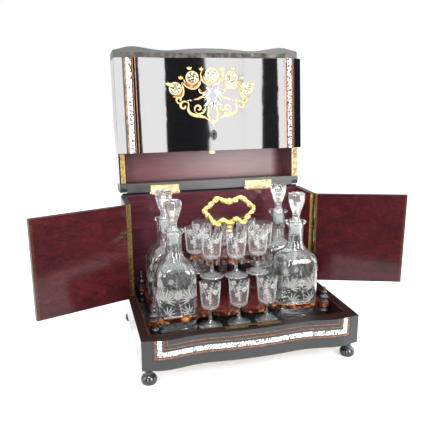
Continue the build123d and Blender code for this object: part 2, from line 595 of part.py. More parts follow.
# ---------------------------------------------------------------- glass
def decanter():
    """Square bottle with rounded corners, a sloping shoulder and a flared lip."""
    shoulder_top = DECANTER_BODY_H + DECANTER_SHOULDER_H
    outer = RectangleRounded(DECANTER_W, DECANTER_W, DECANTER_CORNER)
    body = extrude(outer, DECANTER_BODY_H)
    middle = RectangleRounded(DECANTER_W * 0.80, DECANTER_W * 0.80, DECANTER_W * 0.36)
    shoulder = loft([Pos(0, 0, DECANTER_BODY_H) * outer,
                     Pos(0, 0, DECANTER_BODY_H + 10.0) * middle,
                     Pos(0, 0, shoulder_top) * Circle(DECANTER_NECK_R)], ruled=True)
    neck = turned([(DECANTER_NECK_R, shoulder_top), (DECANTER_NECK_R - 1.6, shoulder_top + 12),
                   (DECANTER_NECK_R - 1.2, DECANTER_H - 7), (DECANTER_LIP_R - 1, DECANTER_H - 4),
                   (DECANTER_LIP_R, DECANTER_H - 2), (DECANTER_LIP_R - 1, DECANTER_H)])
    inside_w = DECANTER_W - 2 * DECANTER_WALL
    inner = RectangleRounded(inside_w, inside_w, DECANTER_CORNER - DECANTER_WALL)
    inner_mid = RectangleRounded(inside_w * 0.78, inside_w * 0.78, inside_w * 0.35)
    cavity = Pos(0, 0, DECANTER_FLOOR) * extrude(inner, DECANTER_BODY_H - DECANTER_FLOOR - 2)
    cavity += loft([Pos(0, 0, DECANTER_BODY_H - 2) * inner,
                    Pos(0, 0, DECANTER_BODY_H + 7.0) * inner_mid,
                    Pos(0, 0, shoulder_top) * Circle(BORE_R)], ruled=True)
    bore = Cylinder(BORE_R, DECANTER_H, align=(Align.CENTER, Align.CENTER, Align.MIN))
    cavity += Pos(0, 0, shoulder_top - 1) * bore
    return body + shoulder + neck - cavity


def stopper():
    """Tulip stopper with a ground peg; its underside rests a hair above the lip."""
    peg_r = BORE_R - STOPPER_FIT
    profile = [(peg_r, -STOPPER_PEG), (peg_r, 0.0), (peg_r, SEAT_GAP), (BORE_R + 1.6, SEAT_GAP),
               (BORE_R + 1.2, 4.0), (6.6, 9.0), (7.2, 13.0), (11.6, 20.0), (STOPPER_R, 29.0),
               (STOPPER_R - 0.6, 36.0), (11.0, STOPPER_H - 2.0), (8.0, STOPPER_H)]
    return turned(profile)


def liqueur_glass():
    """Small stemmed glass: foot, stem and bucket bowl with a rounded bottom."""
    bowl_z = GLASS_H - GLASS_BOWL_H
    r = GLASS_BOWL_R
    outside = [(GLASS_FOOT_R, 0.0), (GLASS_FOOT_R, 1.0), (9.0, 2.6), (3.6, 4.6), (GLASS_STEM_R, 8.0),
               (GLASS_STEM_R, bowl_z - FLARE_H), (FLARE_R, bowl_z - FLARE_DROP), (7.0, bowl_z + 1.6),
               (11.4, bowl_z + 5.4),
               (r - 2.4, bowl_z + 10.0), (r - 1.0, bowl_z + 20.0), (r, GLASS_H)]
    inside = [(r - GLASS_WALL, GLASS_H), (r - 1.0 - GLASS_WALL, bowl_z + 20.0),
              (r - 2.6 - GLASS_WALL, bowl_z + 11.5), (9.4, bowl_z + 6.8), (5.4, bowl_z + 4.2)]
    return turned(outside + inside)


def glassware():
    """Decanters, stoppers and glasses at their places in the caddy."""
    bottle, plug, glass = decanter(), stopper(), liqueur_glass()
    for name, x, y in decanter_places():
        save(f"decanter_{name}", Pos(x, y, STAND_Z) * bottle)
        save(f"stopper_{name}", Pos(x, y, STAND_Z + DECANTER_H) * plug)
    for name, x, y in LOWER_GLASSES:
        save(f"glass_lower_{name}", Pos(x, y, STAND_Z) * glass)
    for name, x, y, _ in UPPER_GLASSES:
        save(f"glass_{name}", Pos(x, y, HANG_Z) * glass)


# ---------------------------------------------------------------- build
base()
feet()
case()
doors()
lid()
panel()
caddy()
glassware()
os.makedirs("parts", exist_ok=True)
for node, shape in parts.items():
    export_step(shape, f"parts/{node}.step")
print(len(parts), "nodes, origin", round(ORIGIN_Y, 3), "behind the front corners")
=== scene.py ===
# %% [markdown]
# # A liqueur cabinet of ebonised wood, brass and cut glass The construction is already made: boards,
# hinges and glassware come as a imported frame, in metres, with the x axis to the right, y to the back and
# z up.  This lesson gives each piece its finish and replaces the pieces whose real shape is softer or
# richer than the plain construction: carved, turned, cast and blown work.

# %% Load the frame
import json
import math
import bpy
import numpy as np
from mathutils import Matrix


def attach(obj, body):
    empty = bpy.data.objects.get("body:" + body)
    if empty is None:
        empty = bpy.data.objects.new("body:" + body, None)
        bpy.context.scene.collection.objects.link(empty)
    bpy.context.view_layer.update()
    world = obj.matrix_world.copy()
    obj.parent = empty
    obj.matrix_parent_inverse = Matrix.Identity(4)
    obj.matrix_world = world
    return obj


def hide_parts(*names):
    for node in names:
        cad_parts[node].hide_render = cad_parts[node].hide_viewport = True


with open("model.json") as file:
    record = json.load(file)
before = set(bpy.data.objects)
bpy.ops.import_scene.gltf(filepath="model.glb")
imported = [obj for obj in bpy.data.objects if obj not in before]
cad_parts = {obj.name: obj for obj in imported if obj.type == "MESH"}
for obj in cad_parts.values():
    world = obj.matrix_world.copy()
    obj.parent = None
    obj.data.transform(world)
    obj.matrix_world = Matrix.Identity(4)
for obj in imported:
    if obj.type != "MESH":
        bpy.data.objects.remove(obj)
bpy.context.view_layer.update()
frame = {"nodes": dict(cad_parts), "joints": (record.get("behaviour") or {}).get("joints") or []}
joints = {joint["name"]: joint for joint in frame["joints"]}
print("pieces in the frame:", len(frame["nodes"]), "joints:", len(joints))

# %% [markdown]
# ## Camera
# The view is from a little left of the front and above, with a lens that is slightly longer than normal.
# The place and the two turns were worked out from the corners of the cabinet.

# %% Camera
MM = 0.001
CAMERA_AT = np.array([-238.2, -837.5, 413.8]) * MM
CAMERA_YAW, CAMERA_DIP, CAMERA_ROLL = 14.86, 13.95, -0.25     # degrees: to the right, down, about its axis
LENS_MM = 45.07


def aim_camera():
    """Camera matrix from a heading, a dip and a small roll, each a turn about one axis."""
    yaw, dip, roll = (math.radians(angle) for angle in (CAMERA_YAW, CAMERA_DIP, CAMERA_ROLL))
    ahead = np.array([math.sin(yaw) * math.cos(dip), math.cos(yaw) * math.cos(dip), -math.sin(dip)])
    side = np.array([math.cos(yaw), -math.sin(yaw), 0.0])
    up = np.cross(side, ahead)
    right = math.cos(roll) * side + math.sin(roll) * up
    up = math.cos(roll) * up - math.sin(roll) * side
    matrix = np.eye(4)
    matrix[:3, 0], matrix[:3, 1], matrix[:3, 2], matrix[:3, 3] = right, up, -ahead, CAMERA_AT
    return matrix


camera_data = bpy.data.cameras.new("camera")
camera_data.lens = LENS_MM
camera_data.sensor_width = 36.0
camera = bpy.data.objects.new("camera", camera_data)
bpy.context.scene.collection.objects.link(camera)
camera.matrix_world = aim_camera().T
bpy.context.scene.camera = camera
print("camera at", CAMERA_AT.round(3), "lens", LENS_MM, "mm")

# %% [markdown]
# ## Light and floor
# A polished black cabinet shows its surroundings more than itself, so the light is a set of soft boxes
# whose mirror images give the pale upright stripes on the front panel.  The world is bright behind and
# above and dim in front, as in a studio with a white sweep.  Camera rays see plain white.

# %% Colours and nodes
def colour(hex_code):
    """Linear colour of an sRGB hex code: each channel through the sRGB curve."""
    channels = np.array([int(hex_code[k:k + 2], 16) / 255 for k in (1, 3, 5)])
    linear = np.where(channels <= 0.04045, channels / 12.92, ((channels + 0.055) / 1.055) ** 2.4)
    return (*linear.tolist(), 1.0)


def add_node(tree, kind, inputs=None, **settings):
    """Add one shader node, set its settings, and fill its inputs with values or with links."""
    node = tree.nodes.new("ShaderNode" + kind)
    for key, value in settings.items():
        setattr(node, key, value)
    for key, value in (inputs or {}).items():
        if isinstance(value, bpy.types.NodeSocket):
            tree.links.new(value, node.inputs[key])
        else:
            node.inputs[key].default_value = value
    return node


def ramp(tree, value, stops, interpolation="LINEAR"):
    """Colour ramp driven by a value; stops are (position, hex or grey level)."""
    node = add_node(tree, "ValToRGB", {"Fac": value})
    node.color_ramp.interpolation = interpolation
    elements = node.color_ramp.elements
    while len(elements) < len(stops):
        elements.new(1.0)
    for element, (position, tone) in zip(elements, stops):
        element.position = position
        element.color = colour(tone) if isinstance(tone, str) else (tone, tone, tone, 1.0)
    return node.outputs["Color"]


def maths(tree, operation, *values):
    """One arithmetic node on one or two values."""
    return add_node(tree, "Math", dict(enumerate(values)), operation=operation).outputs[0]


def remap(tree, value, start, end, low, high, eased=False):
    """The value carried from start..end to low..high and held beyond; eased makes the change smooth."""
    return add_node(tree, "MapRange", {"Value": value, "From Min": start, "From Max": end, "To Min": low,
                                       "To Max": high},
                    interpolation_type="SMOOTHSTEP" if eased else "LINEAR").outputs[0]


def mix_tones(tree, factor, first, second):
    """Colour that goes from first to second as the factor goes from 0 to 1."""
    return add_node(tree, "Mix", {"Factor": factor, 6: first, 7: second}, data_type="RGBA").outputs[2]


def axes_of(tree, vector):
    """The X, Y and Z of a vector."""
    return add_node(tree, "SeparateXYZ", {0: vector}).outputs


def dot(tree, vector, direction):
    """How far a vector goes along a direction."""
    return add_node(tree, "VectorMath", {0: vector, 1: direction}, operation="DOT_PRODUCT").outputs["Value"]


def coordinate(tree, kind="Object"):
    """Place on the piece itself in metres, or another kind of coordinate."""
    return add_node(tree, "TexCoord").outputs[kind]


def per_mm(size):
    """Texture scale whose features are about this many millimetres across."""
    return 1000.0 / size


def noise(tree, size_mm, detail=2.0, place=None, **shape):
    """Noise with features of about size_mm, fixed to the piece or to a place that is given."""
    return add_node(tree, "TexNoise", {"Vector": coordinate(tree) if place is None else place,
                                       "Scale": per_mm(size_mm), "Detail": detail, **shape}).outputs["Fac"]


def bump_of(tree, height, strength, distance):
    """Bump from a height between 0 and 1; the distance is its full height in metres."""
    return add_node(tree, "Bump", {"Height": height, "Strength": strength, "Distance": distance}).outputs[0]


def new_material(name, **constants):
    """Material with one Principled shader; constants go on the shader's own sockets."""
    material = bpy.data.materials.new(name)
    material.use_nodes = True
    shader = material.node_tree.nodes["Principled BSDF"]
    for key, value in constants.items():
        shader.inputs[key.replace("_", " ")].default_value = value
    return material, material.node_tree, shader


def drive(shader, **values):
    """Link values of other nodes to the shader's sockets."""
    for key, value in values.items():
        shader.id_data.links.new(value, shader.inputs[key.replace("_", " ")])


print("middle grey in linear light:", round(colour("#808080")[0], 3))

# %% World
scene = bpy.context.scene
scene.view_settings.view_transform = "Standard"
world = bpy.data.worlds.new("studio")
scene.world = world
world.use_nodes = True
sky = world.node_tree
sky.nodes.clear()
axes = axes_of(sky, coordinate(sky, "Generated"))
behind = remap(sky, axes["Y"], -0.25, 0.35, 0.10, 1.0, eased=True)
above = remap(sky, axes["Z"], 0.16, 0.5, 0.0, 1.0, eased=True)
seen = add_node(sky, "LightPath").outputs["Is Camera Ray"]
strength = maths(sky, "MAXIMUM", maths(sky, "MAXIMUM", behind, above), seen)
background = add_node(sky, "Background", {"Color": (1, 1, 1, 1), "Strength": strength})
add_node(sky, "OutputWorld", {"Surface": background.outputs[0]})
print("world nodes:", len(sky.nodes))


# %% Soft boxes
def soft_box(name, heading, rise, distance, width, height, radiance, target=(0, 0, 0.2)):
    """Area light at a heading (degrees from straight ahead, to the right) and a rise, facing the target.
    Its power is pi * area * radiance."""
    heading, rise = math.radians(heading), math.radians(rise)
    away = np.array([math.sin(heading) * math.cos(rise), -math.cos(heading) * math.cos(rise), math.sin(rise)])
    data = bpy.data.lights.new(name, "AREA")
    data.shape, data.size, data.size_y = "RECTANGLE", width, height
    data.energy = math.pi * width * height * radiance
    light = bpy.data.objects.new(name, data)
    scene.collection.objects.link(light)
    across = np.cross((0, 0, 1), away) if abs(away[2]) < 0.99 else np.array([1.0, 0, 0])
    across /= np.linalg.norm(across)
    frame_axes = np.eye(4)
    frame_axes[:3, 0], frame_axes[:3, 1], frame_axes[:3, 2] = across, np.cross(away, across), away
    frame_axes[:3, 3] = np.array(target) + distance * away
    light.matrix_world = frame_axes.T
    light.visible_camera = False


# Name, heading, rise, distance, width, height, radiance.
for light_values in (("right_strip", 22.3, 16, 1.32, 0.44, 0.9, 19),
                     ("left_strip", -26, 14, 2.5, 0.42, 1.6, 19),
                     ("left_wall", -80, 16, 2, 1.4, 1.6, 4.5), ("right_wall", 80, 16, 2, 1.4, 1.6, 4.5),
                     ("overhead", 0, 89.9, 2.2, 3.2, 3.2, 1.8), ("key", -14, 56, 1.3, 0.3, 0.3, 40)):
    soft_box(*light_values)
print("soft boxes:", [light.name for light in bpy.data.lights])

# %% Floor
FLOOR_SIDE, FLOOR_FRONT, FLOOR_BACK = 4.0, 0.37, 4.0
floor_mesh = bpy.data.meshes.new("floor")
corners = [(-FLOOR_SIDE, -FLOOR_FRONT, 0), (FLOOR_SIDE, -FLOOR_FRONT, 0), (FLOOR_SIDE, FLOOR_BACK, 0),
           (-FLOOR_SIDE, FLOOR_BACK, 0)]
floor_mesh.from_pydata(corners, [], [(0, 1, 2, 3)])
floor = bpy.data.objects.new("floor", floor_mesh)
scene.collection.objects.link(floor)
# Matt white sweep paper: nearly white, faintly mottled, no gloss.
paper, tree, shader = new_material("matt_white_sweep_paper", Roughness=0.9, Specular_IOR_Level=0.1,
                                   Emission_Strength=0.36)
drive(shader, Base_Color=ramp(tree, noise(tree, 300), [(0.3, "#cdcdcd"), (0.7, "#d3d3d3")]))
floor_mesh.materials.append(paper)
print("floor:", 2 * FLOOR_SIDE, "by", FLOOR_FRONT + FLOOR_BACK, "m")

# %% [markdown]
# ## Wood
# The outside is pear wood stained black and French polished: a thin shellac film over fine, nearly hidden
# grain.  The inside is mahogany veneer with horizontal streaks under the same polish.  A board that is
# black outside and red inside is one piece of wood, so one material chooses between the two by the
# direction its faces look in.  The grain is noise stretched along the board; its scale is in real
# millimetres.

# %% Polished boards
def grain(tree, turn, stretch, width_mm, detail=6.0, distortion=0.4):
    """Streaky noise: object coordinates turned so that the grain runs along x, squeezed along it."""
    place = add_node(tree, "Mapping", {"Vector": coordinate(tree), "Rotation": turn,
                                       "Scale": (1 / stretch, 1, 1)})
    return noise(tree, width_mm, detail, place.outputs[0], Roughness=0.62, Distortion=distortion)


def polish_marks(tree, shader, streaks, low, high, height):
    """Roughness between low and high along the streaks, and a bump of the given height from them."""
    bumps = bump_of(tree, streaks, 1.0, height)
    drive(shader, Roughness=remap(tree, streaks, 0.3, 0.7, low, high), Normal=bumps, Coat_Normal=bumps)


MAHOGANY = [(0.25, "#2a0d10"), (0.45, "#45161a"), (0.6, "#5c2225"), (0.8, "#74312f")]
EBONISED = [(0.3, "#09090b"), (0.55, "#101013"), (0.8, "#1b1a1d")]
DEEP_BLACK = [(0.3, "#050506"), (0.55, "#09090b"), (0.8, "#0f0f11")]
LIPPING = [(0.3, "#2c150f"), (0.55, "#3f2016"), (0.8, "#52301d")]
WORN_BROWN = [(0.3, "#120a09"), (0.55, "#1b100e"), (0.8, "#2b1a16")]
RUBBED = [(0.3, "#222122"), (0.55, "#2c2a2b"), (0.8, "#3a3738")]


def french_polished(name, turn=(0, 0, 0), inside=None, red=MAHOGANY, black=EBONISED, mirror_sides=False,
                    grain_mm=2.2, film=1.0, haze=0.07, lipping=None, worn_tops=False, tops=RUBBED,
                    own_sheen=0.06):
    """Shellac over wood.  inside is the direction in which the red faces look; with mirror_sides the boards
    of both sides share it, looking towards the middle.  Without it the whole board is black.  film is the
    weight of the shellac and haze its roughness; faces that look up have the tones tops, and with worn_tops
    the film is gone there.  lipping is (direction, distance): beyond it the red is the paler solid edge
    strip."""
    material, tree, shader = new_material(name, IOR=1.5, Specular_IOR_Level=own_sheen, Coat_Weight=film,
                                          Coat_Roughness=haze, Coat_IOR=1.5)
    streaks = grain(tree, turn, 18.0, grain_mm)
    normal = coordinate(tree, "Normal")
    is_top = maths(tree, "GREATER_THAN", axes_of(tree, normal)["Z"], 0.7)
    tone = mix_tones(tree, is_top, ramp(tree, streaks, black), ramp(tree, streaks, tops))
    if worn_tops:
        drive(shader, Coat_Weight=remap(tree, is_top, 0, 1, film, 0.06))
    if inside is not None:
        figure = grain(tree, turn, 5.0, 16.0, detail=4.0, distortion=0.8)
        figured = ramp(tree, maths(tree, "MULTIPLY", maths(tree, "ADD", streaks, figure), 0.5), red)
        if lipping is not None:
            beyond = maths(tree, "GREATER_THAN", dot(tree, coordinate(tree), lipping[0]), lipping[1])
            figured = mix_tones(tree, beyond, figured, ramp(tree, streaks, LIPPING))
        facing = dot(tree, normal, inside)
        if mirror_sides:
            facing = maths(tree, "MULTIPLY", facing,
                           maths(tree, "SIGN", axes_of(tree, coordinate(tree))["X"]))
        tone = mix_tones(tree, maths(tree, "GREATER_THAN", facing, 0.6), tone, figured)
    drive(shader, Base_Color=tone)
    polish_marks(tree, shader, streaks, 0.3, 0.45, 0.000012)
    return material


def rubbed_edge(name, gloss=0.5, tones=RUBBED):
    """Edge and joint faces: the same stain, but handling has rubbed the shellac to a soft grey sheen."""
    material, tree, shader = new_material(name, IOR=1.5, Specular_IOR_Level=gloss)
    streaks = grain(tree, (0, 0, 0), 16.0, 2.6)
    drive(shader, Base_Color=ramp(tree, streaks, tones))
    polish_marks(tree, shader, streaks, 0.34, 0.5, 0.00002)
    return material


def finish_nodes(material, *names):
    """Give CAD pieces their finish: every material slot of the node gets it."""
    for name in names:
        mesh = frame["nodes"][name].data
        mesh.materials.clear()
        mesh.materials.append(material)


DOOR_TURN = math.radians(70.4)                    # how far the doors stand open
UPRIGHT, DEEP = (0, math.radians(90), 0), (0, 0, math.radians(90))       # grain that runs up, and to the back
# Black French polished pear wood: mirror-like, deep black, the faint grain only breaking the edges of
# reflections.  On the front panel and on the caddy's base and rod it is deepest: there the stain has no
# sheen of its own, so the dark between the reflections is that of the clear shellac alone.
ebonised = french_polished("ebonised_pear_wood_french_polished", black=DEEP_BLACK, own_sheen=0.0)
finish_nodes(ebonised, "front_panel", "panel_cartouche")
# Stained and polished in the same way, with tops that use has worn: brown on the base, grey at the back.
finish_nodes(french_polished("ebonised_base_front", worn_tops=True, tops=WORN_BROWN), "base_front")
# Rubbed edges: where lid and box close on each other the polish is worn to a soft grey.
finish_nodes(rubbed_edge("rubbed_ebonised_joint_faces"), "lid_front_rim", "lid_rear_rim")
finish_nodes(french_polished("ebonised_base_back", worn_tops=True), "base_back")
finish_nodes(french_polished("ebonised_side_boards", turn=DEEP, worn_tops=True, tops=WORN_BROWN),
             "base_sides")
finish_nodes(french_polished("ebonised_lid_top", inside=(0, -1, 0)), "lid_board")
finish_nodes(french_polished("ebonised_lid_sides_mahogany_within", turn=UPRIGHT, inside=(-1, 0, 0),
                             mirror_sides=True), "lid_side_rims")
# Mahogany veneer, satin polished: dark red brown, streaked along the board; lights make only a soft glow
# on it.
SATIN = dict(film=0.35, haze=0.2)
finish_nodes(french_polished("mahogany_back_board", inside=(0, -1, 0), worn_tops=True, **SATIN,
                             red=[(0.25, "#230c12"), (0.45, "#38141c"), (0.6, "#492029"), (0.8, "#5e2f38")]),
             "back_board")
finish_nodes(french_polished("mahogany_lid_lining", inside=(0, -1, 0), film=0.65, haze=0.3,
                             red=[(0.25, "#3a1a1f"), (0.5, "#5c2b33"), (0.8, "#7a3f47")]), "lid_lining")
finish_nodes(french_polished("mahogany_side_returns", inside=(-1, 0, 0), mirror_sides=True, worn_tops=True,
                             turn=DEEP, **SATIN), "side_returns")
LIPPING_WIDTH = 0.0045
# Mahogany of the doors.  The right door's tones are darker than the left's: painted shade, as less light
# falls on that door.
DOOR_RED_AND_PAINTED_SHADE = {"left_door": [(0.28, "#150507"), (0.42, "#25070a"), (0.56, "#370c11"), (0.72, "#52191d")],
            "right_door": [(0.28, "#130506"), (0.42, "#22060a"), (0.56, "#310a0e"), (0.72, "#48171a")]}
for side, name in ((1, "right_door"), (-1, "left_door")):
    inside = (-side * math.cos(DOOR_TURN), -math.sin(DOOR_TURN), 0)
    away = (side * math.sin(DOOR_TURN), -math.cos(DOOR_TURN), 0)
    points = np.array([vertex.co for vertex in frame["nodes"][name].data.vertices])
    reach = float((points @ np.array(away)).max())
    finish_nodes(french_polished("mahogany_veneered_" + name, inside=inside, red=DOOR_RED_AND_PAINTED_SHADE[name], film=0.4,
                                 haze=0.12, lipping=(away, reach - LIPPING_WIDTH), worn_tops=True,
                                 tops=WORN_BROWN, turn=(0, 0, side * (math.radians(90) - DOOR_TURN))), name)
print("boards finished")

# %% [markdown]
# ## Inlay and brass
# Along the front run bands of crushed mother of pearl set in dark mastic, and copper stringing.  The
# chips are cells of a Voronoi texture of about two and a half millimetres: each cell has its own tint,
# and the mastic shows along the cell borders.  The metal is plain stringing, so only its tarnish and fine
# scratches need to be drawn.

# %% Mother of pearl
def crushed_pearl(name, chip_mm, bed=None):
    """Pearl chips: each Voronoi cell has its own tint and slope, with dark mastic along the borders.  bed is
    the band's (outer x, lower z, inner x, upper z) in metres: past these lines the bed is mastic only."""
    material, tree, shader = new_material(name, IOR=1.55, Roughness=0.22, Coat_Weight=1.0,
                                          Coat_Roughness=0.04)
    place = coordinate(tree)
    cells = {"Vector": place, "Scale": per_mm(chip_mm), "Randomness": 1.0}
    chips = add_node(tree, "TexVoronoi", cells)
    tint = add_node(tree, "SeparateColor", {"Color": chips.outputs["Color"]}).outputs[0]
    shades = ramp(tree, tint, [(0.0, "#4a423c"), (0.10, "#a9a8a4"), (0.22, "#eef1f0"), (0.55, "#dde6e6"),
                               (0.75, "#f7f6f5"), (0.92, "#e2dcdd")], "CONSTANT")
    border = add_node(tree, "TexVoronoi", cells, feature="DISTANCE_TO_EDGE").outputs["Distance"]
    tone = mix_tones(tree, ramp(tree, border, [(0.06, 0.0), (0.15, 1.0)]), colour("#2b211b"), shades)
    if bed is not None:
        axes = axes_of(tree, place)
        across = maths(tree, "ABSOLUTE", axes["X"])
        outer = maths(tree, "MAXIMUM", maths(tree, "GREATER_THAN", across, bed[0]),
                      maths(tree, "LESS_THAN", axes["Z"], bed[1]))
        inner = maths(tree, "MULTIPLY", maths(tree, "LESS_THAN", across, bed[2]),
                      maths(tree, "GREATER_THAN", axes["Z"], bed[3]))
        tone = mix_tones(tree, maths(tree, "MAXIMUM", inner, outer), tone, colour("#191413"))
    drive(shader, Base_Color=tone, Normal=bump_of(tree, tint, 0.35, 0.0002))
    return material


# Crushed mother of pearl: white chips with green and pink tints and dark specks between them.
finish_nodes(crushed_pearl("crushed_mother_of_pearl", 2.6), "panel_inlay_pearl")
finish_nodes(crushed_pearl("crushed_mother_of_pearl_in_the_base", 2.4, (0.1437, 0.0454, 0.1373, 0.0526)),
             "base_inlay_pearl")
print("pearl finished; materials:", len(bpy.data.materials))


# %% Metals
def metal(name, bright, dull, patch_mm, roughness, scratch_mm=0.8, tarnish=0.5, relief=0.00002):
    """Metal whose colour drifts between bright and tarnished in soft patches, with fine scratches."""
    material, tree, shader = new_material(name, Metallic=1.0)
    patches = noise(tree, patch_mm, 5.0)
    drive(shader, Base_Color=ramp(tree, patches, [(tarnish - 0.2, bright), (tarnish + 0.2, dull)]),
          Roughness=remap(tree, patches, 0.3, 0.7, roughness * 0.8, roughness * 1.4),
          Normal=bump_of(tree, noise(tree, scratch_mm), 0.6, relief))
    return material


# Copper stringing polished flush with the wood: warm red brown, slightly dull.
copper = metal("copper_stringing", "#8c6650", "#593f31", 5.0, 0.42)
# Of the outer band about half is black mastic, beyond 147.8 mm from the middle and lower than 41.3 mm.
tree, shader = copper.node_tree, copper.node_tree.nodes["Principled BSDF"]
axes = axes_of(tree, coordinate(tree))
mastic = maths(tree, "MAXIMUM", maths(tree, "GREATER_THAN", maths(tree, "ABSOLUTE", axes["X"]), 0.1478),
               maths(tree, "LESS_THAN", axes["Z"], 0.0413))
copper_tone = shader.inputs["Base Color"].links[0].from_socket
drive(shader, Base_Color=mix_tones(tree, mastic, copper_tone, colour("#121112")),
      Metallic=maths(tree, "SUBTRACT", 1.0, mastic))
finish_nodes(copper, "base_inlay_copper", "panel_inlay_copper")
# Polished brass: pale yellow and bright, with darker patches.
polished_brass = metal("polished_brass", "#bca57e", "#8a7552", 7.0, 0.42)
finish_nodes(polished_brass, "lid_moving_leaves", "lid_fixed_leaves", "lid_hinge_screws", "lock_bolt")
# Browned brass: the front panel's long hinge and keyhole plate were never cleaned and have gone nearly black.
browned_brass = metal("browned_brass_long_hinge", "#4a4744", "#383532", 9.0, 0.5)
finish_nodes(browned_brass, "front_hinge_upper_leaf", "front_hinge_lower_leaf", "keyhole_escutcheon")
# Worn brass of the end plates: rubbed bright in places, brown in others.
finish_nodes(metal("worn_brass_end_plates", "#a98f5a", "#665330", 5.0, 0.42), "lid_end_plates")
# Old brass with olive patina: the tall door hinges and the strike plate have not been polished.
old_brass = metal("old_brass_with_patina", "#8c7543", "#463a20", 4.0, 0.42)
finish_nodes(old_brass, "door_fixed_leaves", "right_door_leaf", "left_door_leaf", "strike_plate")
# Filed iron of the lock: grey with a brown bloom.
iron = metal("filed_iron", "#7d7a76", "#4a3f38", 4.0, 0.42)
finish_nodes(iron, "lock_case")
# Handle of the caddy: cast bronze, chased and fire gilt, warm yellow with bright high points.
gilt = metal("chased_gilt_bronze", "#f7da84", "#c8963e", 4.0, 0.32, scratch_mm=1.2, tarnish=0.62,
             relief=0.00008)
finish_nodes(gilt, "caddy_handle")
finish_nodes(ebonised, "caddy_rod")
print("inlay and metal finished; materials:", len(bpy.data.materials))

# %% [markdown]
# ## Boards of the well and the caddy
# The well is lined with dark polished veneer, and the caddy has a black base and two scalloped tiers: red
# brown on top, with dark brown sawn edges on which patches of amber are a painted glow of the light that
# comes through the glass.  The edge is told from the top by the direction of its faces.

# %% Well and caddy boards
# Plain sawn softwood under the bottom: dry, pale brown and matt.
softwood, tree, shader = new_material("sawn_softwood", Roughness=0.75, Specular_IOR_Level=0.3)
drive(shader, Base_Color=ramp(tree, grain(tree, (0, 0, 0), 20.0, 1.6), [(0.3, "#5b4128"), (0.7, "#8a6a45")]))
finish_nodes(softwood, "bottom_board")
# Dark polished veneer of the well: wine black, glossy.
lining = french_polished("dark_well_veneer", black=[(0.3, "#170b0c"), (0.6, "#281113"), (0.85, "#3b1a19")],
                         worn_tops=True, tops=[(0.3, "#3c1710"), (0.6, "#5a261a"), (0.85, "#73382a")])
finish_nodes(lining, "well_lining")
finish_nodes(ebonised, "caddy_base_board")

# Polished tiers: red brown veneer on top; dark brown sawn edges with patches of painted amber glow.
tiers, tree, shader = new_material("polished_tiers_with_painted_amber_glow_on_edges", IOR=1.5, Coat_Weight=1.0,
                                   Coat_Roughness=0.03)
streaks = grain(tree, (0, 0, 0), 12.0, 1.8)
top = ramp(tree, streaks, [(0.3, "#2d0b08"), (0.55, "#4a140c"), (0.8, "#642113")])
# Painted glow: random patches of amber on the dark brown edge stand for light that comes through the glass.
edge = ramp(tree, noise(tree, 13),
            [(0.45, "#1d0c07"), (0.54, "#42200e"), (0.62, "#85491a"), (0.73, "#c4853a")])
upward = maths(tree, "ABSOLUTE", axes_of(tree, coordinate(tree, "Normal"))["Z"])
drive(shader, Base_Color=mix_tones(tree, maths(tree, "GREATER_THAN", upward, 0.5), edge, top))
polish_marks(tree, shader, streaks, 0.12, 0.25, 0.00001)
finish_nodes(tiers, "caddy_lower_tier", "caddy_upper_tier")
print("materials so far:", len(bpy.data.materials))

# %% [markdown]
# ## Surfaces from numbers
# Every new piece is a stack of closed rings: a turned foot is a stack of circles, a bottle a stack of rounded
# squares, a leaf a stack of thin lenses.  One function joins the rings and closes both ends; another turns a
# mesh that is inside out, which its signed volume shows.

# %% Rings to mesh
def ring_mesh(rings, loop=False):
    """Vertices and faces of stacks of rings, as an array (stacks, rings, points, 3).  Neighbouring rings are
    joined by four-sided faces; a fan round the mean point closes each end, or the last ring meets the
    first."""
    rings = np.asarray(rings, float)
    if rings.ndim == 3:
        rings = rings[None]
    stacks, rows, points, _ = rings.shape
    row = np.arange(rows if loop else rows - 1)[:, None]
    point = np.arange(points)[None, :]
    here, above_row, after = row * points, ((row + 1) % rows) * points, (point + 1) % points
    quads = np.stack([here + point, here + after, above_row + after, above_row + point], -1).reshape(-1, 4)
    if loop:
        vertices, fans, size = rings.reshape(stacks, -1, 3), np.zeros((0, 3), int), rows * points
    else:
        size = rows * points + 2
        poles = np.stack([rings[:, 0].mean(1), rings[:, -1].mean(1)], 1)
        vertices = np.concatenate([rings.reshape(stacks, -1, 3), poles], 1)
        around, onward = np.arange(points), (np.arange(points) + 1) % points
        last = (rows - 1) * points
        fans = np.concatenate([np.stack([np.full(points, size - 2), onward, around], -1),
                               np.stack([np.full(points, size - 1), last + around, last + onward], -1)])
    shift = (np.arange(stacks) * size)[:, None, None]
    return vertices.reshape(-1, 3), (quads + shift).reshape(-1, 4), (fans + shift).reshape(-1, 3)


def join(*meshes):
    """Several (vertices, quads, triangles) as one."""
    counts = np.cumsum([0] + [len(mesh[0]) for mesh in meshes[:-1]])
    return (np.concatenate([mesh[0] for mesh in meshes]),
            np.concatenate([mesh[1] + count for mesh, count in zip(meshes, counts)]),
            np.concatenate([mesh[2] + count for mesh, count in zip(meshes, counts)]))


def outward(mesh):
    """The same mesh with its faces turned round if its signed volume, a sixth of the sum of a . (b x c) over
    all triangles, is negative."""
    vertices, quads, triangles = mesh
    every = np.concatenate([quads[:, [0, 1, 2]], quads[:, [0, 2, 3]], triangles])
    a, b, c = (vertices[every[:, k]] for k in range(3))
    volume = np.einsum("ij,ij->", a, np.cross(b, c)) / 6
    return (vertices, quads[:, ::-1], triangles[:, ::-1]) if volume < 0 else mesh


def make_piece(name, mesh, material, body, replaced=(), sharp=40):
    """Put a mesh in millimetres into the scene in metres; it rides on a body and may stand for CAD nodes."""
    vertices, quads, triangles = outward(mesh)
    data = bpy.data.meshes.new(name)
    data.from_pydata((vertices * MM).tolist(), [], quads.tolist() + triangles.tolist())
    data.update()
    data.shade_smooth()
    data.set_sharp_from_angle(angle=math.radians(sharp))
    data.materials.append(material)
    piece = bpy.data.objects.new(name, data)
    scene.collection.objects.link(piece)
    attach(piece, body)
    if replaced:
        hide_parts(*replaced)
    return piece


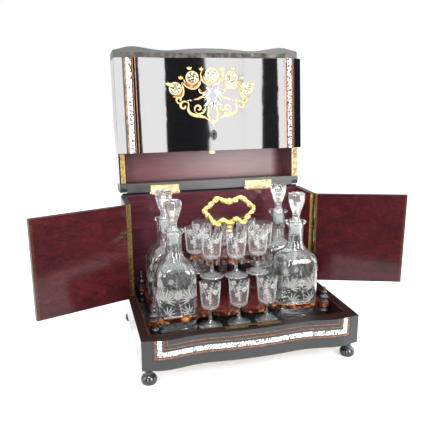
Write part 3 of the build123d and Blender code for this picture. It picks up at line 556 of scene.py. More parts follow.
def smooth_line(points, count, closed=False):
    """Even samples of a Catmull-Rom line through the points: each span is a cubic in its own 0..1."""
    points = np.asarray(points, float)
    if closed:
        padded = np.concatenate([points[-1:], points, points[:2]])
    else:
        padded = np.concatenate([2 * points[:1] - points[1:2], points, 2 * points[-1:] - points[-2:-1]])
    spans = len(padded) - 3
    t = np.linspace(0, spans, count, endpoint=not closed)
    k = np.minimum(t.astype(int), spans - 1)
    f = (t - k)[:, None]
    p0, p1, p2, p3 = (padded[k + j] for j in range(4))
    return 0.5 * (2 * p1 + (p2 - p0) * f + (2 * p0 - 5 * p1 + 4 * p2 - p3) * f ** 2
                  + (3 * p1 - p0 - 3 * p2 + p3) * f ** 3)


def directions(count):
    """Angles of count even directions round a circle, as one row."""
    return np.linspace(0, 2 * np.pi, count, endpoint=False)[None, :]


def turned_rings(profile, sides, centre=(0, 0, 0)):
    """Rings of a turning: each (radius, height) of the profile goes round the upright axis."""
    profile = np.asarray(profile, float)
    angle = directions(sides)
    radius, height = profile[:, 0:1], profile[:, 1:2] + 0 * angle
    return np.stack([radius * np.cos(angle), radius * np.sin(angle), height], -1) + np.asarray(centre)


def turned_mesh(line, sides, places):
    """One mesh of the same turning at several places."""
    return join(*[ring_mesh(turned_rings(line, sides, place)) for place in places])


print("corners of a plain turned rod:", len(ring_mesh(turned_rings([(1, 0), (1, 1)], 8))[0]))

# %% [markdown]
# ## Feet, posts and columns
# All of these come off a lathe: a bun foot under each corner, a finial post at each corner of the caddy
# and four slim columns between its tiers.  A smooth line through the turner's main radii gives the
# profile, which is then carried round.

# %% Turned pieces
HALF_BASE, FRONT_Y, REAR_Y, FOOT_INSET = 165.0, -159.226, 78.774, 10.5
BASE_TOP, CADDY_FLOOR, CADDY_Y = 70.0, 41.0, -23.226
FOOT = [(6, 0), (9.4, 0.6), (11.1, 3), (11.6, 6.2), (11.2, 9.4), (9.4, 12.4), (7.2, 14.5), (5.9, 15.8),
        (5.6, 17.2), (5.9, 19.4), (7, 22), (8.4, 24.95)]
foot_places = [(x, y, 0) for y in (FRONT_Y + FOOT_INSET, REAR_Y - FOOT_INSET)
               for x in (-HALF_BASE + FOOT_INSET, HALF_BASE - FOOT_INSET)]
# Turned wood, ebonised and polished: the black polish runs round the piece, brightest on its beads.
turned_black = french_polished("ebonised_turned_wood", turn=UPRIGHT, grain_mm=1.2)
make_piece("turned_feet", turned_mesh(smooth_line(FOOT, 60), 40, foot_places), turned_black, "cabinet",
           ["feet"])

SPACER = [(6.4, 0), (7.5, 1.2), (7.4, 3.2), (5.8, 5.6), (3.4, 7.6), (3.4, 9), (6.4, 11), (7.3, 13.4),
          (6.8, 16.2), (4.4, 18.6), (4.4, 19.6), (6.4, 20.6), (6.5, 22.4)]
FINIAL = [(6.4, 29.1), (6.6, 30.4), (5.4, 31.4), (3.4, 32.6), (3.6, 33.6), (6.4, 35.2), (7, 37), (6.4, 38.8),
          (4, 40.4), (2.8, 42.2), (3.2, 43.2), (4.3, 44.6), (4.2, 46), (2.8, 47.4), (2.4, 48.6), (3, 50.2),
          (2.9, 51.6), (1.6, 53.8), (0.7, 55)]
tenon = [(3, 22.5), (3, 29)]
post_line = np.concatenate([smooth_line(SPACER, 40), tenon, smooth_line(FINIAL, 60)])
ears = [(x, CADDY_Y + y, CADDY_FLOOR) for y in (-74.0, 74.0) for x in (-137.0, 137.0)]
make_piece("finial_posts", turned_mesh(post_line, 28, ears), turned_black, "caddy",
           ["caddy_corner_posts"])

COLUMN = [(5, 0), (5.1, 2), (4.6, 4.2), (3, 6), (3.2, 9), (4.4, 13.6), (4.2, 17), (3.1, 20),
          (3.4, 22), (4, 24.2), (3.2, 27), (2.6, 32), (2.8, 42), (3.4, 48), (4.3, 53.4), (3.9, 57),
          (3, 60.6), (3.4, 62.4), (4.8, 63.8), (5.1, 65.6), (5, 67.7)]
pillars = [(x, CADDY_Y + y, BASE_TOP + 0.05) for y in (-8.0, 8.0) for x in (-20.0, 20.0)]
make_piece("turned_columns", turned_mesh(smooth_line(COLUMN, 70), 24, pillars), turned_black, "caddy",
           ["caddy_columns"])
print("turned pieces:", len(foot_places), "feet,", len(ears), "posts,", len(pillars), "columns")

# %% [markdown]
# ## The gilt handle
# The caddy is lifted by a cast bronze loop, chased all over with leaves and beads and fire gilt.  A smooth
# closed line runs through its corners; an oval section is swept along it, and its radius swells and dips with
# the distance along the bar to give the chasing.  A boss sits at the top and a socket joins it to the rod.

# %% Handle
HANDLE_Z = BASE_TOP + 157.0
HANDLE_HALF = [(0, -0.5), (7, 0.4), (13, 4.2), (20, 6), (23.6, 2.6), (31.5, -4.6), (41, -12.4), (38, -18.5),
               (31, -26), (25.6, -35), (21.6, -37.2), (15.4, -31.5), (10, -29.4), (6, -33.4), (0, -35.6)]


def sweep_loop(path, section, lift):
    """Rings round a closed line in the x-z plane: at each point the section's first number goes along the
    line's left-hand normal and its second towards the back; lift moves each ring's middle (x, y, z)."""
    ahead = np.roll(path, -1, 0) - np.roll(path, 1, 0)
    ahead /= np.linalg.norm(ahead, axis=1, keepdims=True)
    normal = np.stack([-ahead[:, 1], ahead[:, 0]], -1)
    x = path[:, 0:1] + section[..., 0] * normal[:, 0:1]
    z = path[:, 1:2] + section[..., 0] * normal[:, 1:2]
    return np.stack([x, section[..., 1], z], -1) + np.asarray(lift)


half_loop = np.array(HANDLE_HALF)
loop_points = np.concatenate([half_loop, half_loop[-2:0:-1] * (-1, 1)])
loop_line = smooth_line(loop_points, 720, closed=True)
run = np.concatenate([[0], np.cumsum(np.linalg.norm(np.diff(loop_line, axis=0), axis=1))])[:, None]
turn = directions(20)
beads = np.abs(np.sin(np.pi * run / 4.6)) ** 0.7          # one bead every 4.6 mm
leaves = np.cos(3 * turn + 2 * np.pi * run / 9.2)         # a leaf winding round every 9.2 mm
swell = 1 + 0.26 * (beads - 0.6) + 0.2 * leaves + 0.24 * np.cos(2 * np.pi * run / 13.1 + 2 * turn)
section = np.stack([3.5 * swell * np.cos(turn), 3.1 * swell * np.sin(turn)], -1)
loop_rings = sweep_loop(loop_line, section, (0, CADDY_Y, HANDLE_Z))
half_boss = [(0.5, -4.4), (3.2, -4.2), (4.6, -2.6), (5.6, -1.6)]
boss = half_boss + [(5.9, 0.0)] + [(radius, -height) for radius, height in reversed(half_boss)]
petal = 1 + 0.10 * np.cos(8 * directions(48))[..., None]
boss_rings = turned_rings(smooth_line(boss, 26), 48) * np.concatenate([petal, petal, petal * 0 + 1], -1)
boss_rings = boss_rings[..., [0, 2, 1]] + (0, CADDY_Y, HANDLE_Z)
socket = [(3.2, -51), (4.6, -50.4), (5, -48), (3.9, -46.4), (4.8, -44.4), (5.3, -42), (4.3, -39.6),
          (5.6, -37.4), (6, -34.6), (4.6, -32.4), (2, -31.4)]
socket_rings = turned_rings(smooth_line(socket, 50), 28, (0, CADDY_Y, HANDLE_Z))
make_piece("chased_handle", join(ring_mesh(loop_rings, loop=True), outward(ring_mesh(boss_rings)),
                                 ring_mesh(socket_rings)), gilt, "caddy", ["caddy_handle"])
print("handle loop:", round(float(run[-1, 0])), "mm long")

# %% [markdown]
# ## Crystal
# The decanters are blown square bottles with rounded corners, a sloping shoulder, a neck cut with eight
# flutes and a flared lip; the stoppers are tulips cut with eight facets.  A decanter has both walls of
# its glass, because light bends once at each.  The bowls of the liqueur glasses are too thin to bend it
# much, so they are see-through instead.  The section changes from a rounded square to a circle and to an
# octagon, so a ring is written as a radius for every direction.

# %% Sections
def squared_circle(angle, half, corner):
    """Radius of a square with half-width `half` and rounded corners: half / cos(angle) on the flats, and on
    the corner the far crossing with the circle about its centre.  With corner = half it is a circle."""
    turned_in = np.mod(angle + np.pi / 4, np.pi / 2) - np.pi / 4
    inset = half - corner
    lean = np.abs(turned_in)
    flat = half / np.cos(lean)
    together = np.cos(lean) + np.sin(lean)
    round_part = inset * together + np.sqrt(np.maximum(inset ** 2 * (together ** 2 - 2) + corner ** 2, 0))
    return np.where(np.tan(lean) * half <= inset, flat, round_part)


def cut_facets(angle, count):
    """Share of the radius left by count flat cuts round a circle: cos(pi / count) / cos(angle from a cut)."""
    step = 2 * np.pi / count
    return np.cos(step / 2) / np.cos(np.mod(angle, step) - step / 2)


OUTSIDE = [(1.4, 8, 6), (1, 16, 10), (0, 24, 12), (0.5, 27.6, 13), (2.2, 30, 13.6),
           (5, 31, 14), (16, 31, 14), (50, 31, 14), (84, 31, 14), (93, 30.8, 14.6),
           (98.5, 29.8, 16), (102.6, 27.4, 17.6), (105.6, 24.2, 18.4), (108.6, 20.6, 18), (112.4, 17, 16.6),
           (117, 14.2, 14.2), (122, 12.8, 12.8), (130, 12.4, 12.4), (140, 12.3, 12.3), (148, 12.5, 12.5)]
LIP = [(151.2, 13.6, 13.6), (153, 16.2, 16.2), (154.4, 17, 17), (155.8, 16.9, 16.9), (156.9, 15.8, 15.8),
       (156.8, 12.6, 12.6), (155.6, 9.6, 9.6), (153, 8.6, 8.6)]
INSIDE = [(140, 8.5, 8.5), (124, 9.2, 9.2), (117, 11.8, 11.8), (112, 15.2, 14.8), (108, 19, 16.2),
          (104.4, 23.2, 16.8), (100, 27, 15.4), (94, 29.1, 13.4), (84, 29.4, 12.4), (50, 29.4, 12.4),
          (16, 29.4, 12.4), (9, 28.2, 12.2), (6.6, 24, 11.4), (5.8, 15, 8), (6.2, 5, 4)]
around = directions(80)
OUTSIDE_COUNT, FACETS = 84, 8
stations = np.concatenate([smooth_line(OUTSIDE, OUTSIDE_COUNT), smooth_line(LIP, 26),
                           smooth_line(INSIDE, 60)])
radius = squared_circle(around, stations[:, 1:2], stations[:, 2:3])
neck = np.clip((stations[:, 0:1] - 121) / 6, 0, 1) * np.clip((150 - stations[:, 0:1]) / 3, 0, 1)
neck[OUTSIDE_COUNT:] = 0
neck = neck * neck * (3 - 2 * neck)
radius = radius * (1 + neck * (cut_facets(around, FACETS) * 1.03 - 1))
bottle_rings = np.stack([radius * np.cos(around), radius * np.sin(around), stations[:, 0:1] + 0 * around], -1)

STOPPER = [(3, -22), (8.2, -21.6), (8.4, -20.5), (8.4, -10), (8.4, -1), (7.9, 0.6), (7, 3), (6.2, 7),
           (6.5, 11), (8.2, 16.5), (10.8, 23), (12.9, 30), (13.9, 36), (14, 40.6), (13, 43.8),
           (10.5, 45), (6, 45), (2, 44.8)]
stopper_line = smooth_line(STOPPER, 76)
cut = np.clip((stopper_line[:, 1:2] - 3) / 5, 0, 1) * np.clip((44.4 - stopper_line[:, 1:2]) / 1.5, 0, 1)
stopper_rings = turned_rings(stopper_line, 64)
share = 1 + cut * (cut_facets(directions(64), FACETS) - 1)
stopper_rings = stopper_rings * np.stack([share, share, 0 * share + 1], -1)

print("rings of a decanter:", len(bottle_rings), "and of a stopper:", len(stopper_rings))

# Lead crystal, blown and cut: colourless, perfectly smooth, bright edges where the facets meet.
WATER_WHITE = colour("#f7fafa")
crystal, tree, shader = new_material("cut_lead_crystal", IOR=1.54, Transmission_Weight=0.985, Roughness=0.0,
                                     Base_Color=WATER_WHITE)
drive(shader, Normal=bump_of(tree, noise(tree, 16, 1.0), 0.5, 0.00008))

# Solid crystal of stoppers and stems: so much light is caught inside it that it looks a little milky.
solid_crystal = new_material("solid_crystal", IOR=1.54, Transmission_Weight=0.93, Roughness=0.02,
                             Base_Color=WATER_WHITE)[0]

# Thin blown glass of the bowls: clear face on, and light grey where one looks along the wall, through
# much glass.
thin_glass, tree, shader = new_material("thin_blown_glass", IOR=1.5, Roughness=0.03, Specular_IOR_Level=1.0,
                                        Base_Color=colour("#cfd2d2"))
edge_on = add_node(tree, "LayerWeight", {"Blend": 0.5}).outputs["Facing"]
drive(shader, Alpha=remap(tree, edge_on, 0.45, 1.0, 0.03, 0.7, eased=True))

# Ground joint: the peg is ground with grit to fit the neck, so it is a frosted, grey white band.
ground, tree, shader = new_material("ground_glass_joint", IOR=1.5, Transmission_Weight=0.55)
grit = noise(tree, 1.2, 3.0)
drive(shader, Base_Color=ramp(tree, grit, [(0.3, "#d4d6d6"), (0.7, "#f6f7f7")]),
      Roughness=remap(tree, grit, 0.3, 0.7, 0.4, 0.6))
joint_profile = np.array([(8.15, -20.0), (8.46, -19.6), (8.46, -12.0), (8.46, -4.4), (8.15, -4.0),
                          (8.0, -12.0)])
joint_rings = turned_rings(joint_profile, 48)

DECANTERS = {f"{row}_{side}": (sign * 99.5, CADDY_Y + offset)
             for row, offset in (("front", -39.0), ("rear", 39.0))
             for side, sign in (("left", -1), ("right", 1))}
STAND_Z, STOPPER_UP = 41.06, 157.0          # underside of what stands in the caddy; the lip above it
for name, (x, y) in DECANTERS.items():
    make_piece("crystal_decanter_" + name, ring_mesh(bottle_rings + (x, y, STAND_Z)), crystal,
               f"decanter_{name}_body", [f"decanter_{name}"])
    make_piece("crystal_stopper_" + name, ring_mesh(stopper_rings + (x, y, STAND_Z + STOPPER_UP)),
               solid_crystal, f"stopper_{name}_body", [f"stopper_{name}"], sharp=30)
    make_piece("ground_joint_" + name, ring_mesh(joint_rings + (x, y, STAND_Z + STOPPER_UP), loop=True),
               ground, f"stopper_{name}_body")
print("decanters:", list(DECANTERS))

# %% Liqueur glasses
STEM = [(0.6, 2), (6, 1.8), (12, 1), (17, 0), (18.3, 0.3), (18.8, 1.2), (18.3, 2.3), (16.8, 3.1),
        (13, 4.2), (9, 5.7), (6, 7.3), (3.9, 9.2), (2.9, 11), (2.5, 13.4), (2.4, 17), (2.4, 23),
        (2.7, 26.6), (3.6, 29), (4.2, 30.1), (3, 30.5), (0.6, 30.6)]
BOWL_SIDE = [(0.8, 30.2), (3, 30.3), (5.6, 30.6), (8.8, 31.3), (11.6, 32.6), (13.3, 35), (14, 38.6),
             (14.7, 48), (15.6, 60), (16.45, 72.4)]
BOWL_RIM = [(16.35, 72.85), (16, 73), (15.65, 72.7)]
BOWL_INSIDE = [(14.75, 60), (13.8, 48), (13.2, 40.6), (12.6, 37.4), (11, 35), (8, 33.8), (5, 33.3),
               (0.8, 33.2)]
BOWL_STATIONS = 60
bowl_line = np.concatenate([smooth_line(BOWL_SIDE, BOWL_STATIONS), BOWL_RIM, smooth_line(BOWL_INSIDE, 34)])
bowl_rings, stem_rings = turned_rings(bowl_line, 44), turned_rings(smooth_line(STEM, 66), 44)
HANG_Z = 115.06
GLASSES = {}
for row, height, reach, side_depth, middle_depth in (("lower", STAND_Z, 46.5, 81.0, 81.0),
                                                     ("front", HANG_Z, 38.0, 103.6, 97.0),
                                                     ("side", HANG_Z, 57.5, 136.0, None),
                                                     ("rear", HANG_Z, 38.0, 168.4, 168.4)):
    for side, x, depth in (("left", -reach, side_depth), ("centre", 0.0, middle_depth),
                           ("right", reach, side_depth)):
        if depth is not None:
            GLASSES[f"{row}_{side}"] = (x, depth + FRONT_Y, height)
for name, place in GLASSES.items():
    make_piece("glass_bowl_" + name, ring_mesh(bowl_rings + place), thin_glass, f"glass_{name}_body",
               [f"glass_{name}"])
    make_piece("glass_stem_" + name, ring_mesh(stem_rings + place), solid_crystal, f"glass_{name}_body")
print("glasses:", len(GLASSES))

# %% [markdown]
# ## Engraving
# Decanters and glasses are wheel engraved with the usual sprays: ferns, palms and small open flowers,
# grey white because the wheel leaves the glass matt.  Painting them as a mask would need a very fine
# pattern, so each leaf is a thin lens laid on the glass.  Leaves are written in flat millimetres, u round
# the glass and v up it, and one function rolls them onto the wall at any height.

# %% Leaves on a wall
def leaf_rings(wall, leaves, rise, rows=7):
    """Lens-shaped leaves.  Each leaf is (u, v, angle, length, width, bend): along it t runs from 0 to 1, its
    half-width is width / 2 * sin(pi * t ** 0.8), its middle line turns by bend radians in all, and it stands
    rise out of the wall and as far into it at its middle."""
    u, v, angle, length, width, bend = (np.asarray(column, float)[:, None, None] for column in zip(*leaves))
    t = np.linspace(0.015, 0.985, rows)[None, :, None]
    across = np.array([-1.0, -0.5, 0.0, 0.5, 1.0, 0.5, 0.0, -0.5])[None, None, :]
    face = np.array([0.0, 1, 1, 1, 0, -1, -1, -1])[None, None, :]
    heading = angle + bend * t
    middle_u = u + length * t * np.cos(angle + bend * t / 2)
    middle_v = v + length * t * np.sin(angle + bend * t / 2)
    fullness = np.sin(np.pi * t ** 0.8)
    half = width / 2 * fullness * across
    lift = rise * face * (1 - across ** 2) * np.minimum(fullness * 1.5, 1)
    return wall(middle_u - half * np.sin(heading), middle_v + half * np.cos(heading), lift)


def leaf_mesh(leaves, rise, wall):
    """Leaves on a wall as one mesh."""
    return ring_mesh(leaf_rings(wall, leaves, rise))


def fern(u, v, angle, length, bend, leaf, step, width_share=0.34):
    """A bent stem with pairs of leaves, at about 45 degrees to it, that shrink towards its tip."""
    t = np.arange(step, length * 0.93, step) / length
    heading = angle + bend * t
    stem_u = u + length * t * np.cos(angle + bend * t / 2)
    stem_v = v + length * t * np.sin(angle + bend * t / 2)
    size = leaf * (1 - 0.55 * t) * np.minimum(1.0, 0.55 + 2.5 * t)
    leaves = [(u, v, angle, length, 0.9, bend)]
    for side in (-1, 1):
        leaves += list(zip(stem_u, stem_v, heading + side * 0.8, size, size * width_share,
                           np.full_like(t, -side * 0.4)))
    return leaves + [(stem_u[-1], stem_v[-1], heading[-1], leaf * 0.5, leaf * 0.2, 0.0)]


def blossom(u, v, petals, size, turn=0.0):
    """Open flower: petals round a centre, and a small bud in the middle."""
    angles = turn + np.arange(petals) * 2 * np.pi / petals
    ring = [(u + 0.18 * size * math.cos(a), v + 0.18 * size * math.sin(a), a, size * 0.82, size * 0.42, 0.0)
            for a in angles]
    return ring + [(u - size * 0.1, v, 0.0, size * 0.2, size * 0.2, 0.0)]


DECANTER_ROUND = 4 * (62.0 - 28.0) + 2 * np.pi * 14.0        # millimetres round the body
WALL_START = 12             # first of the outside's stations above the rounded bottom
BOWL_RADIUS = 15.5


def decanter_wall(u, v, lift):
    """Place on the decanter: u becomes a direction by its share of the way round, and the radius in that
    direction at height v is read from the outside's stations."""
    direction = 2 * np.pi * u / DECANTER_ROUND
    outside = stations[:OUTSIDE_COUNT]
    half, corner = (np.interp(v, outside[WALL_START:, 0], outside[WALL_START:, k]) for k in (1, 2))
    reach = squared_circle(direction, half, corner) + lift
    return np.stack([reach * np.cos(direction), reach * np.sin(direction), v + 0 * direction], -1)


def bowl_wall(u, v, lift):
    """Place on a liqueur glass: u is measured round the bowl at its mean radius."""
    direction = u / BOWL_RADIUS
    reach = np.interp(v, bowl_line[:BOWL_STATIONS, 1], bowl_line[:BOWL_STATIONS, 0]) + lift
    return np.stack([reach * np.cos(direction), reach * np.sin(direction), v + 0 * direction], -1)


def palm(u, v, angle, spread, count, length, width):
    """Fan of count pointed leaves from one root; the outer ones are shorter and bend outwards."""
    share = np.linspace(-1, 1, count)
    turned = angle + spread * share
    return list(zip(u + 0.08 * length * np.cos(turned), v + 0.08 * length * np.sin(turned), turned,
                    length * (1 - 0.35 * share ** 2), np.full(count, width), 0.35 * share))


decanter_leaves = []
up = math.pi / 2
for face in range(4):
    u = face * DECANTER_ROUND / 4
    decanter_leaves += blossom(u, 62.0, 8, 8.4, 0.2) + blossom(u - 11.5, 85.0, 6, 5.0)
    decanter_leaves += blossom(u + 28.0, 82.0, 7, 6.0) + fern(u, 71, up + 0.5, 19, -0.8, 6.4, 5.4, 0.2)
    decanter_leaves += fern(u, 54, -up + 0.5, 30, -0.7, 6.4, 5.8, 0.2)
    for corner in (-1, 1):
        root = u + corner * DECANTER_ROUND / 8 * 0.74
        decanter_leaves += palm(root, 54, up + corner * 0.55, 1.3, 9, 22.0, 2.1)
        decanter_leaves += palm(root - corner * 2, 33, up + corner * 0.75, 1.0, 6, 16.0, 1.8)
decanter_engraving = leaf_rings(decanter_wall, decanter_leaves, 0.12, rows=6)

glass_leaves = []
for sprig in range(4):
    u = sprig * 2 * math.pi * BOWL_RADIUS / 4
    glass_leaves += fern(u - 5, 39, math.pi / 2 - 0.3, 29, 0.9, 6.4, 4.2, 0.22)
    glass_leaves += fern(u + 7, 69, -math.pi / 2 + 0.9, 13, -0.8, 4.4, 3.6, 0.22)
    glass_leaves += blossom(u + 4.5, 62.0, 7, 5.4) + blossom(u - 8.0, 53.0, 6, 4.2)
glass_engraving = leaf_rings(bowl_wall, glass_leaves, 0.12, rows=6)
print("leaves on a decanter:", len(decanter_leaves), "and on a glass:", len(glass_leaves))


def wheel_engraved(name, dark, light):
    """Matt grey white where the wheel has cut, half clear, so the background dims it."""
    material, tree, shader = new_material(name, IOR=1.5, Transmission_Weight=0.3, Roughness=0.5,
                                          Specular_IOR_Level=0.6)
    drive(shader, Base_Color=ramp(tree, noise(tree, 1.5, 3.0), [(0.3, dark), (0.7, light)]))
    return material


# Deep cuts in the thick decanters look greyer; the fine ones in the thin glasses stay paler.
deep_engraving = wheel_engraved("wheel_engraved_decanter_glass", "#7b7977", "#a3a19e")
fine_engraving = wheel_engraved("wheel_engraved_thin_glass", "#9b9997", "#c9c7c4")
for name, (x, y) in DECANTERS.items():
    make_piece("engraving_decanter_" + name, ring_mesh(decanter_engraving + (x, y, STAND_Z)), deep_engraving,
               f"decanter_{name}_body")
for name, place in GLASSES.items():
    make_piece("engraving_glass_" + name, ring_mesh(glass_engraving + place), fine_engraving,
               f"glass_{name}_body")

# %% [markdown]
# ## The cartouche
# The front panel carries marquetry: brass, red tortoiseshell and mother of pearl cut to a cartouche and
# let into the black ground.  It has five rosettes over crescents of shell, a central spray and scrolls
# that run down to a drop at the foot.  Every line is a flat band swept along a smooth curve, and every
# petal a lens like the engraved leaves.  The panel is serpentine.  The base's front has the same curve,
# and the wall function reads the wave from there.

# %% Front panel wall
front_points = np.array([vertex.co for vertex in frame["nodes"]["base_front"].data.vertices]) / MM
slices = np.linspace(-150, 150, 121)
nearest = np.array([front_points[np.abs(front_points[:, 0] - x) < 4.0, 1].min() for x in slices])
wave_forward = FRONT_Y - nearest          # how far the wave stands in front of its two ends
LEAN = math.radians(5.74)
DOWN = np.array([0.0, -math.sin(LEAN), -math.cos(LEAN)])
OUT = np.array([0.0, -math.cos(LEAN), math.sin(LEAN)])
PANEL_PIN = np.array([0.0, 103.697, 451.366])
PIN_TO_PANEL, PANEL_THICKNESS, PANEL_EDGE = 1.8, 12.3, 0.15


def panel_wall(u, v, lift):
    """Place on the open front panel: u across, v down from its top edge, lift out of its serpentine face."""
    u, v, lift = np.broadcast_arrays(u, v, lift)
    forward = PIN_TO_PANEL + PANEL_THICKNESS + np.interp(u, slices, wave_forward) + lift
    return (PANEL_PIN + u[..., None] * np.array([1.0, 0, 0]) + (PANEL_EDGE + v)[..., None] * DOWN
            + forward[..., None] * OUT)


def band_rings(line, width, rise):
    """Rings of a flat band along a line (u, v) on the panel; its section is a lens as wide as width."""
    line, width = np.asarray(line, float), np.broadcast_to(width, len(line))
    ahead = np.gradient(line, axis=0)
    ahead /= np.linalg.norm(ahead, axis=1, keepdims=True)
    across = np.array([-1.0, -0.7, 0.0, 0.7, 1.0, 0.7, 0.0, -0.7])[None, :]
    face = np.array([0.0, 1, 1, 1, 0, -1, -1, -1])[None, :]
    half = width[:, None] / 2 * across
    return panel_wall(line[:, 0:1] - half * ahead[:, 1:2], line[:, 1:2] + half * ahead[:, 0:1],
                      rise * face * (1 - 0.5 * across ** 2))


def arc(centre, radius, start, end, count=24):
    """Points on an arc; start and end are in degrees, from u towards v, which is downwards."""
    angle = np.radians(np.linspace(start, end, count))
    radius = np.linspace(*radius, count) if isinstance(radius, tuple) else radius
    return np.stack([centre[0] + radius * np.cos(angle), centre[1] + radius * np.sin(angle)], -1)


def mirrored(items):
    """Each (line, width) and its mirror image in the middle line of the panel."""
    return [(np.asarray(line) * (side, 1), width) for line, width in items for side in (1, -1)]


def band_mesh(items, rise=0.25):
    """One mesh of many bands, each turned outward by itself, since a mirrored one is inside out."""
    return join(*[outward(ring_mesh(band_rings(line, width, rise))) for line, width in items])


def tapered(count, width, ends=0.35):
    """Widths of a band that is fullest in its middle."""
    t = np.linspace(0, 1, count)
    return width * (ends + (1 - ends) * np.sin(np.pi * t))


def vine(points, count, width, ends=0.35):
    """Smooth line through points (u, v), with its widths."""
    return smooth_line(points, count), tapered(count, width, ends)


def curl(centre, radius, start, end, count, width, ends=0.35):
    """Arc or spiral, with its widths."""
    return arc(centre, radius, start, end, count), tapered(count, width, ends)


print("depth of the panel's wave:", round(float(np.ptp(wave_forward)), 1), "mm")

# %% Cartouche pieces
ROSETTES = [(0, 28.5, 12.6), (34.4, 33, 11.6), (-34.4, 33, 11.6), (63.6, 50.6, 11.2), (-63.6, 50.6, 11.2)]
rings = [(arc((u, v), r - 1.4, 0, 356, 48), 2.6) for u, v, r in ROSETTES]
rims = [(arc((u, v), r * 0.72, 0, 356, 40), 0.7) for u, v, r in ROSETTES]
scrolls = mirrored([
    curl((50, 79.5), (1.5, 9), 560, 200, 50, 3, 0.5),         # lower scroll
    # Ribbon to the foot.
    vine([(41.5, 76), (43, 86), (38, 93), (28, 96.5), (18, 98), (11.5, 101)], 40, 4.2, 0.4),
    curl((25.5, 84), (1.2, 7), -320, 40, 44, 2.8, 0.4),       # inner scroll
    vine([(32, 88), (27, 93), (19, 92), (14, 86), (13, 79)], 30, 2.6),
    curl((57.5, 69), (1.4, 6.6), -250, 130, 40, 2.8, 0.5),    # scroll under the side
    vine([(20, 42), (27, 49.5), (36, 51), (46, 46.5), (52, 40)], 40, 2.4),
    vine([(53, 41), (50, 52), (52, 63), (60, 66)], 30, 2.2),
    vine([(0, 45), (9, 44), (17, 38), (19.5, 28), (17.5, 21)], 34, 2.2),
    vine([(12.5, 101), (7, 104), (3, 108), (0.4, 113)], 24, 3, 0.3),
    vine([(8, 78), (7, 88), (9, 96), (4.5, 101.5)], 24, 2.2),
    vine([(19, 55), (23.5, 52), (21, 58), (13, 57), (8, 52)], 30, 1.8),
    vine([(33, 69), (26, 68), (19, 65), (12, 66)], 24, 2.6, 0.3),
])
BUDS = [(18.4, 20), (39, 18.6), (53.8, 34), (75.5, 44)]
bud_leaves = [(side * u, v + 1.5, -math.pi / 2 + side * turn, 6.4, 2.9, 0.0)
              for u, v in BUDS for side in (-1, 1) for turn in (-0.7, 0.0, 0.7)]
spray = [(side * u, v, math.pi / 2 + side * turn, length, width, side * bend) for side in (-1, 1) for
         u, v, turn, length, width, bend in (
             (4.0, 58.0, -1.5, 15, 5.2, 0.5), (5.0, 62.0, -1.15, 14, 4.6, 0.6),
             (4.0, 66.0, -0.75, 13, 4.4, 0.5), (1.5, 70.0, -0.25, 15, 4.4, 0.3),
             (3.0, 56.0, -2.1, 12, 4.2, -0.4), (9.0, 76.0, -1.3, 9, 3.2, 0.6),
             (36.0, 71.0, -1.8, 8, 2.6, 0.4), (14.0, 90.0, -2.4, 9, 2.6, 0.5))]
spray += [(0.0, 103.0, math.pi / 2, 11, 5.0, 0.0), (0.0, 52.0, -math.pi / 2, 8, 3.6, 0.0)]
petals = [(u + 0.26 * r * math.cos(a), v + 0.26 * r * math.sin(a), a + 0.35, r * 0.56, r * 0.34, 0.9)
          for u, v, r in ROSETTES for a in np.arange(7) * 2 * math.pi / 7]
centres = [(u - 0.2 * r, v, 0.0, 0.4 * r, 0.4 * r, 0.0) for u, v, r in ROSETTES]
crescents = mirrored([
    curl((34.4, 33.0), 14.6, 8, 172, 40, 6.0, 0.25),
    curl((63.6, 50.6), 13.4, 70, 200, 34, 4.8, 0.25),
    curl((0.0, 28.5), 15.2, 4, 88, 24, 4.6, 0.35),
])
# Cut brass of the scrolls: warm and even.  The rings round the rosettes are a greener alloy, and the
# rosettes have bright copper middles.
cut_brass = metal("engraved_brass_inlay", "#c0a674", "#8b7144", 5.0, 0.4, scratch_mm=0.9)
olive_brass = metal("greenish_brass_rings", "#a8a27c", "#7c754c", 4.0, 0.4)
amber = metal("copper_rosette_centres", "#f0b050", "#c0702c", 3.0, 0.3)
# Red tortoiseshell: clear horn over vermilion, glossy, orange red with darker clouds.
shell, tree, shader = new_material("red_tortoiseshell_inlay", IOR=1.5, Roughness=0.2, Coat_Weight=0.6)
drive(shader, Base_Color=ramp(tree, noise(tree, 5, 3.0),
                              [(0.35, "#5e2812"), (0.5, "#9c5128"), (0.65, "#c88450")]))
# Petals of mother of pearl: the same chips, but large.
petal_pearl = crushed_pearl("mother_of_pearl_petals", 6.0)
scrolls = [(line, width * 1.25) for line, width in scrolls]
make_piece("cartouche_brass",
           join(band_mesh(scrolls), band_mesh(rims), outward(leaf_mesh(bud_leaves, 0.25, panel_wall))),
           cut_brass, "panel")
make_piece("cartouche_rings", band_mesh(rings, rise=0.3), olive_brass, "panel")
make_piece("cartouche_shell", band_mesh(crescents, rise=0.2), shell, "panel")
make_piece("cartouche_pearl", join(leaf_mesh(petals, 0.3, panel_wall), leaf_mesh(spray, 0.25, panel_wall)),
           petal_pearl, "panel")
make_piece("cartouche_centres", leaf_mesh(centres, 0.35, panel_wall), amber, "panel")
print("cartouche:", len(ROSETTES), "rosettes,", len(scrolls), "scrolls,", len(spray), "leaves")

# %% [markdown]
# ## Small fittings
# Along the back edge of the lid runs a thin black bead that closes the joint behind the hinge pins, so no
# light
# shows between the open lid and the case: a dark piece that paints the shade of that joint.  It stops at the
# hinges.  The long hinge leaves of the doors and the plates at the ends of the lid are held by slotted
# countersunk screws.  Leaves close face to face, so the heads are nearly flush, and the slot is a narrow dark
# oval of painted shade across each.

# %% Rear bead
bead_profile = np.array([(-1.2, 0.3), (-1.2, 2.2), (-0.5, 2.8), (1.5, 2.8), (2.25, 2.2), (2.25, 0.3),
                         (0.5, 0.1)])
OPEN = math.radians(95.74)
LID_PIN_Y, LID_PIN_Z = 81.074, 226.3


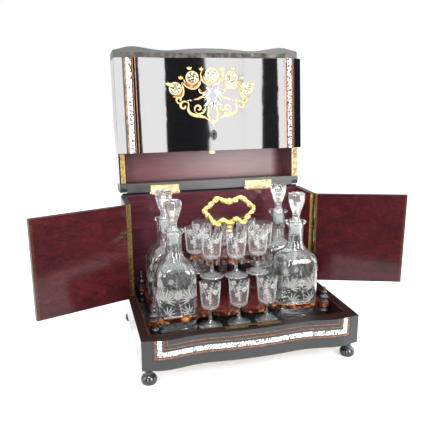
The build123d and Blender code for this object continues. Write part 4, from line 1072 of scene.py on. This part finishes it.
def lid_point(x, ahead, above):
    """Place on the open lid from its closed measures, ahead of the hinge pin (frontwards) and above it."""
    return np.stack(np.broadcast_arrays(x, LID_PIN_Y - ahead * math.cos(OPEN) + above * math.sin(OPEN),
                                        LID_PIN_Z + ahead * math.sin(OPEN) + above * math.cos(OPEN)), -1)


runs = [(-160, -112.5), (-59.5, 59.5), (112.5, 160)]
bead_rings = [lid_point(np.array(ends)[:, None], bead_profile[None, :, 0], bead_profile[None, :, 1])
              for ends in runs]
# The bead is matt black: a dark piece of painted shade in the joint.
joint_shade_bead = rubbed_edge("matt_black_bead_of_painted_joint_shade", gloss=0.02, tones=EBONISED)
make_piece("lid_rear_bead", join(*[outward(ring_mesh(rings)) for rings in bead_rings]), joint_shade_bead, "lid")
print("bead in", len(runs), "lengths")


# %% Screws
def screw_rings(centre, out, turned, long_way=1.9, wide=1.9, rise=0.05):
    """Flush screw head: rings of a very low oval dome about the direction out, long_way by wide and turned
    about it; a long narrow one is the slot.  Leaves close face to face, so it stands only a hair above the
    plate."""
    out = np.asarray(out, float) / np.linalg.norm(out)
    side = np.cross(out, (0, 0, 1))
    side /= np.linalg.norm(side)
    up = np.cross(out, side)
    share = np.array([0.0, 0.9, 1.0, 1.0, 0.97, 0.8, 0.5, 0.2])[:, None] + 1e-3
    height = np.array([-0.3, -0.3, -0.2, rise * 0.5, rise * 0.8, rise, rise, rise])[:, None]
    angle = directions(24)
    a, b = long_way * share * np.cos(angle), wide * share * np.sin(angle)
    a, b = a * math.cos(turned) - b * math.sin(turned), a * math.sin(turned) + b * math.cos(turned)
    return np.asarray(centre) + a[..., None] * side + b[..., None] * up + (height + 0 * a)[..., None] * out


# Screw heads: brass gone brown.  Their slots are black ovals of painted shade.
screw_brass = metal("brown_brass_screws", "#8f7a4c", "#3d3220", 1.2, 0.35, scratch_mm=0.5)
painted_slot_shade, tree, shader = new_material("painted_shade_in_screw_slots", Roughness=0.7)
drive(shader, Base_Color=ramp(tree, noise(tree, 0.4), [(0.3, "#0d0b0a"), (0.7, "#241f1b")]))
jamb_screws = [((x, 5.88, z), (0, -1, 0), 0.4 + 0.7 * k) for x in (-158.8, 158.8)
               for k, z in enumerate((80.0, 104.0, 128.0, 151.0, 174.0, 198.0, 217.0))]
PLATE_FOOT_Y, PLATE_FOOT_Z = 83.08, 244.9
plate_screws = [((x, PLATE_FOOT_Y + (z - PLATE_FOOT_Z) * math.tan(LEAN), z), OUT, 0.9 + k)
                for x in (-157.0, 157.0) for k, z in enumerate((250.5, 273.5, 296.5))]
for name, screws, body in (("jamb_hinge", jamb_screws, "cabinet"), ("end_plate", plate_screws, "lid")):
    heads = [outward(ring_mesh(screw_rings(*place))) for place in screws]
    # The slots: narrow dark ovals of painted shade laid on the heads.
    slots = [outward(ring_mesh(screw_rings(*place, long_way=1.75, wide=0.36, rise=0.08))) for place in screws]
    make_piece(name + "_screws", join(*heads), screw_brass, body)
    make_piece(name + "_screw_slots", join(*slots), painted_slot_shade, body)
print("screws:", len(jamb_screws) + len(plate_screws))
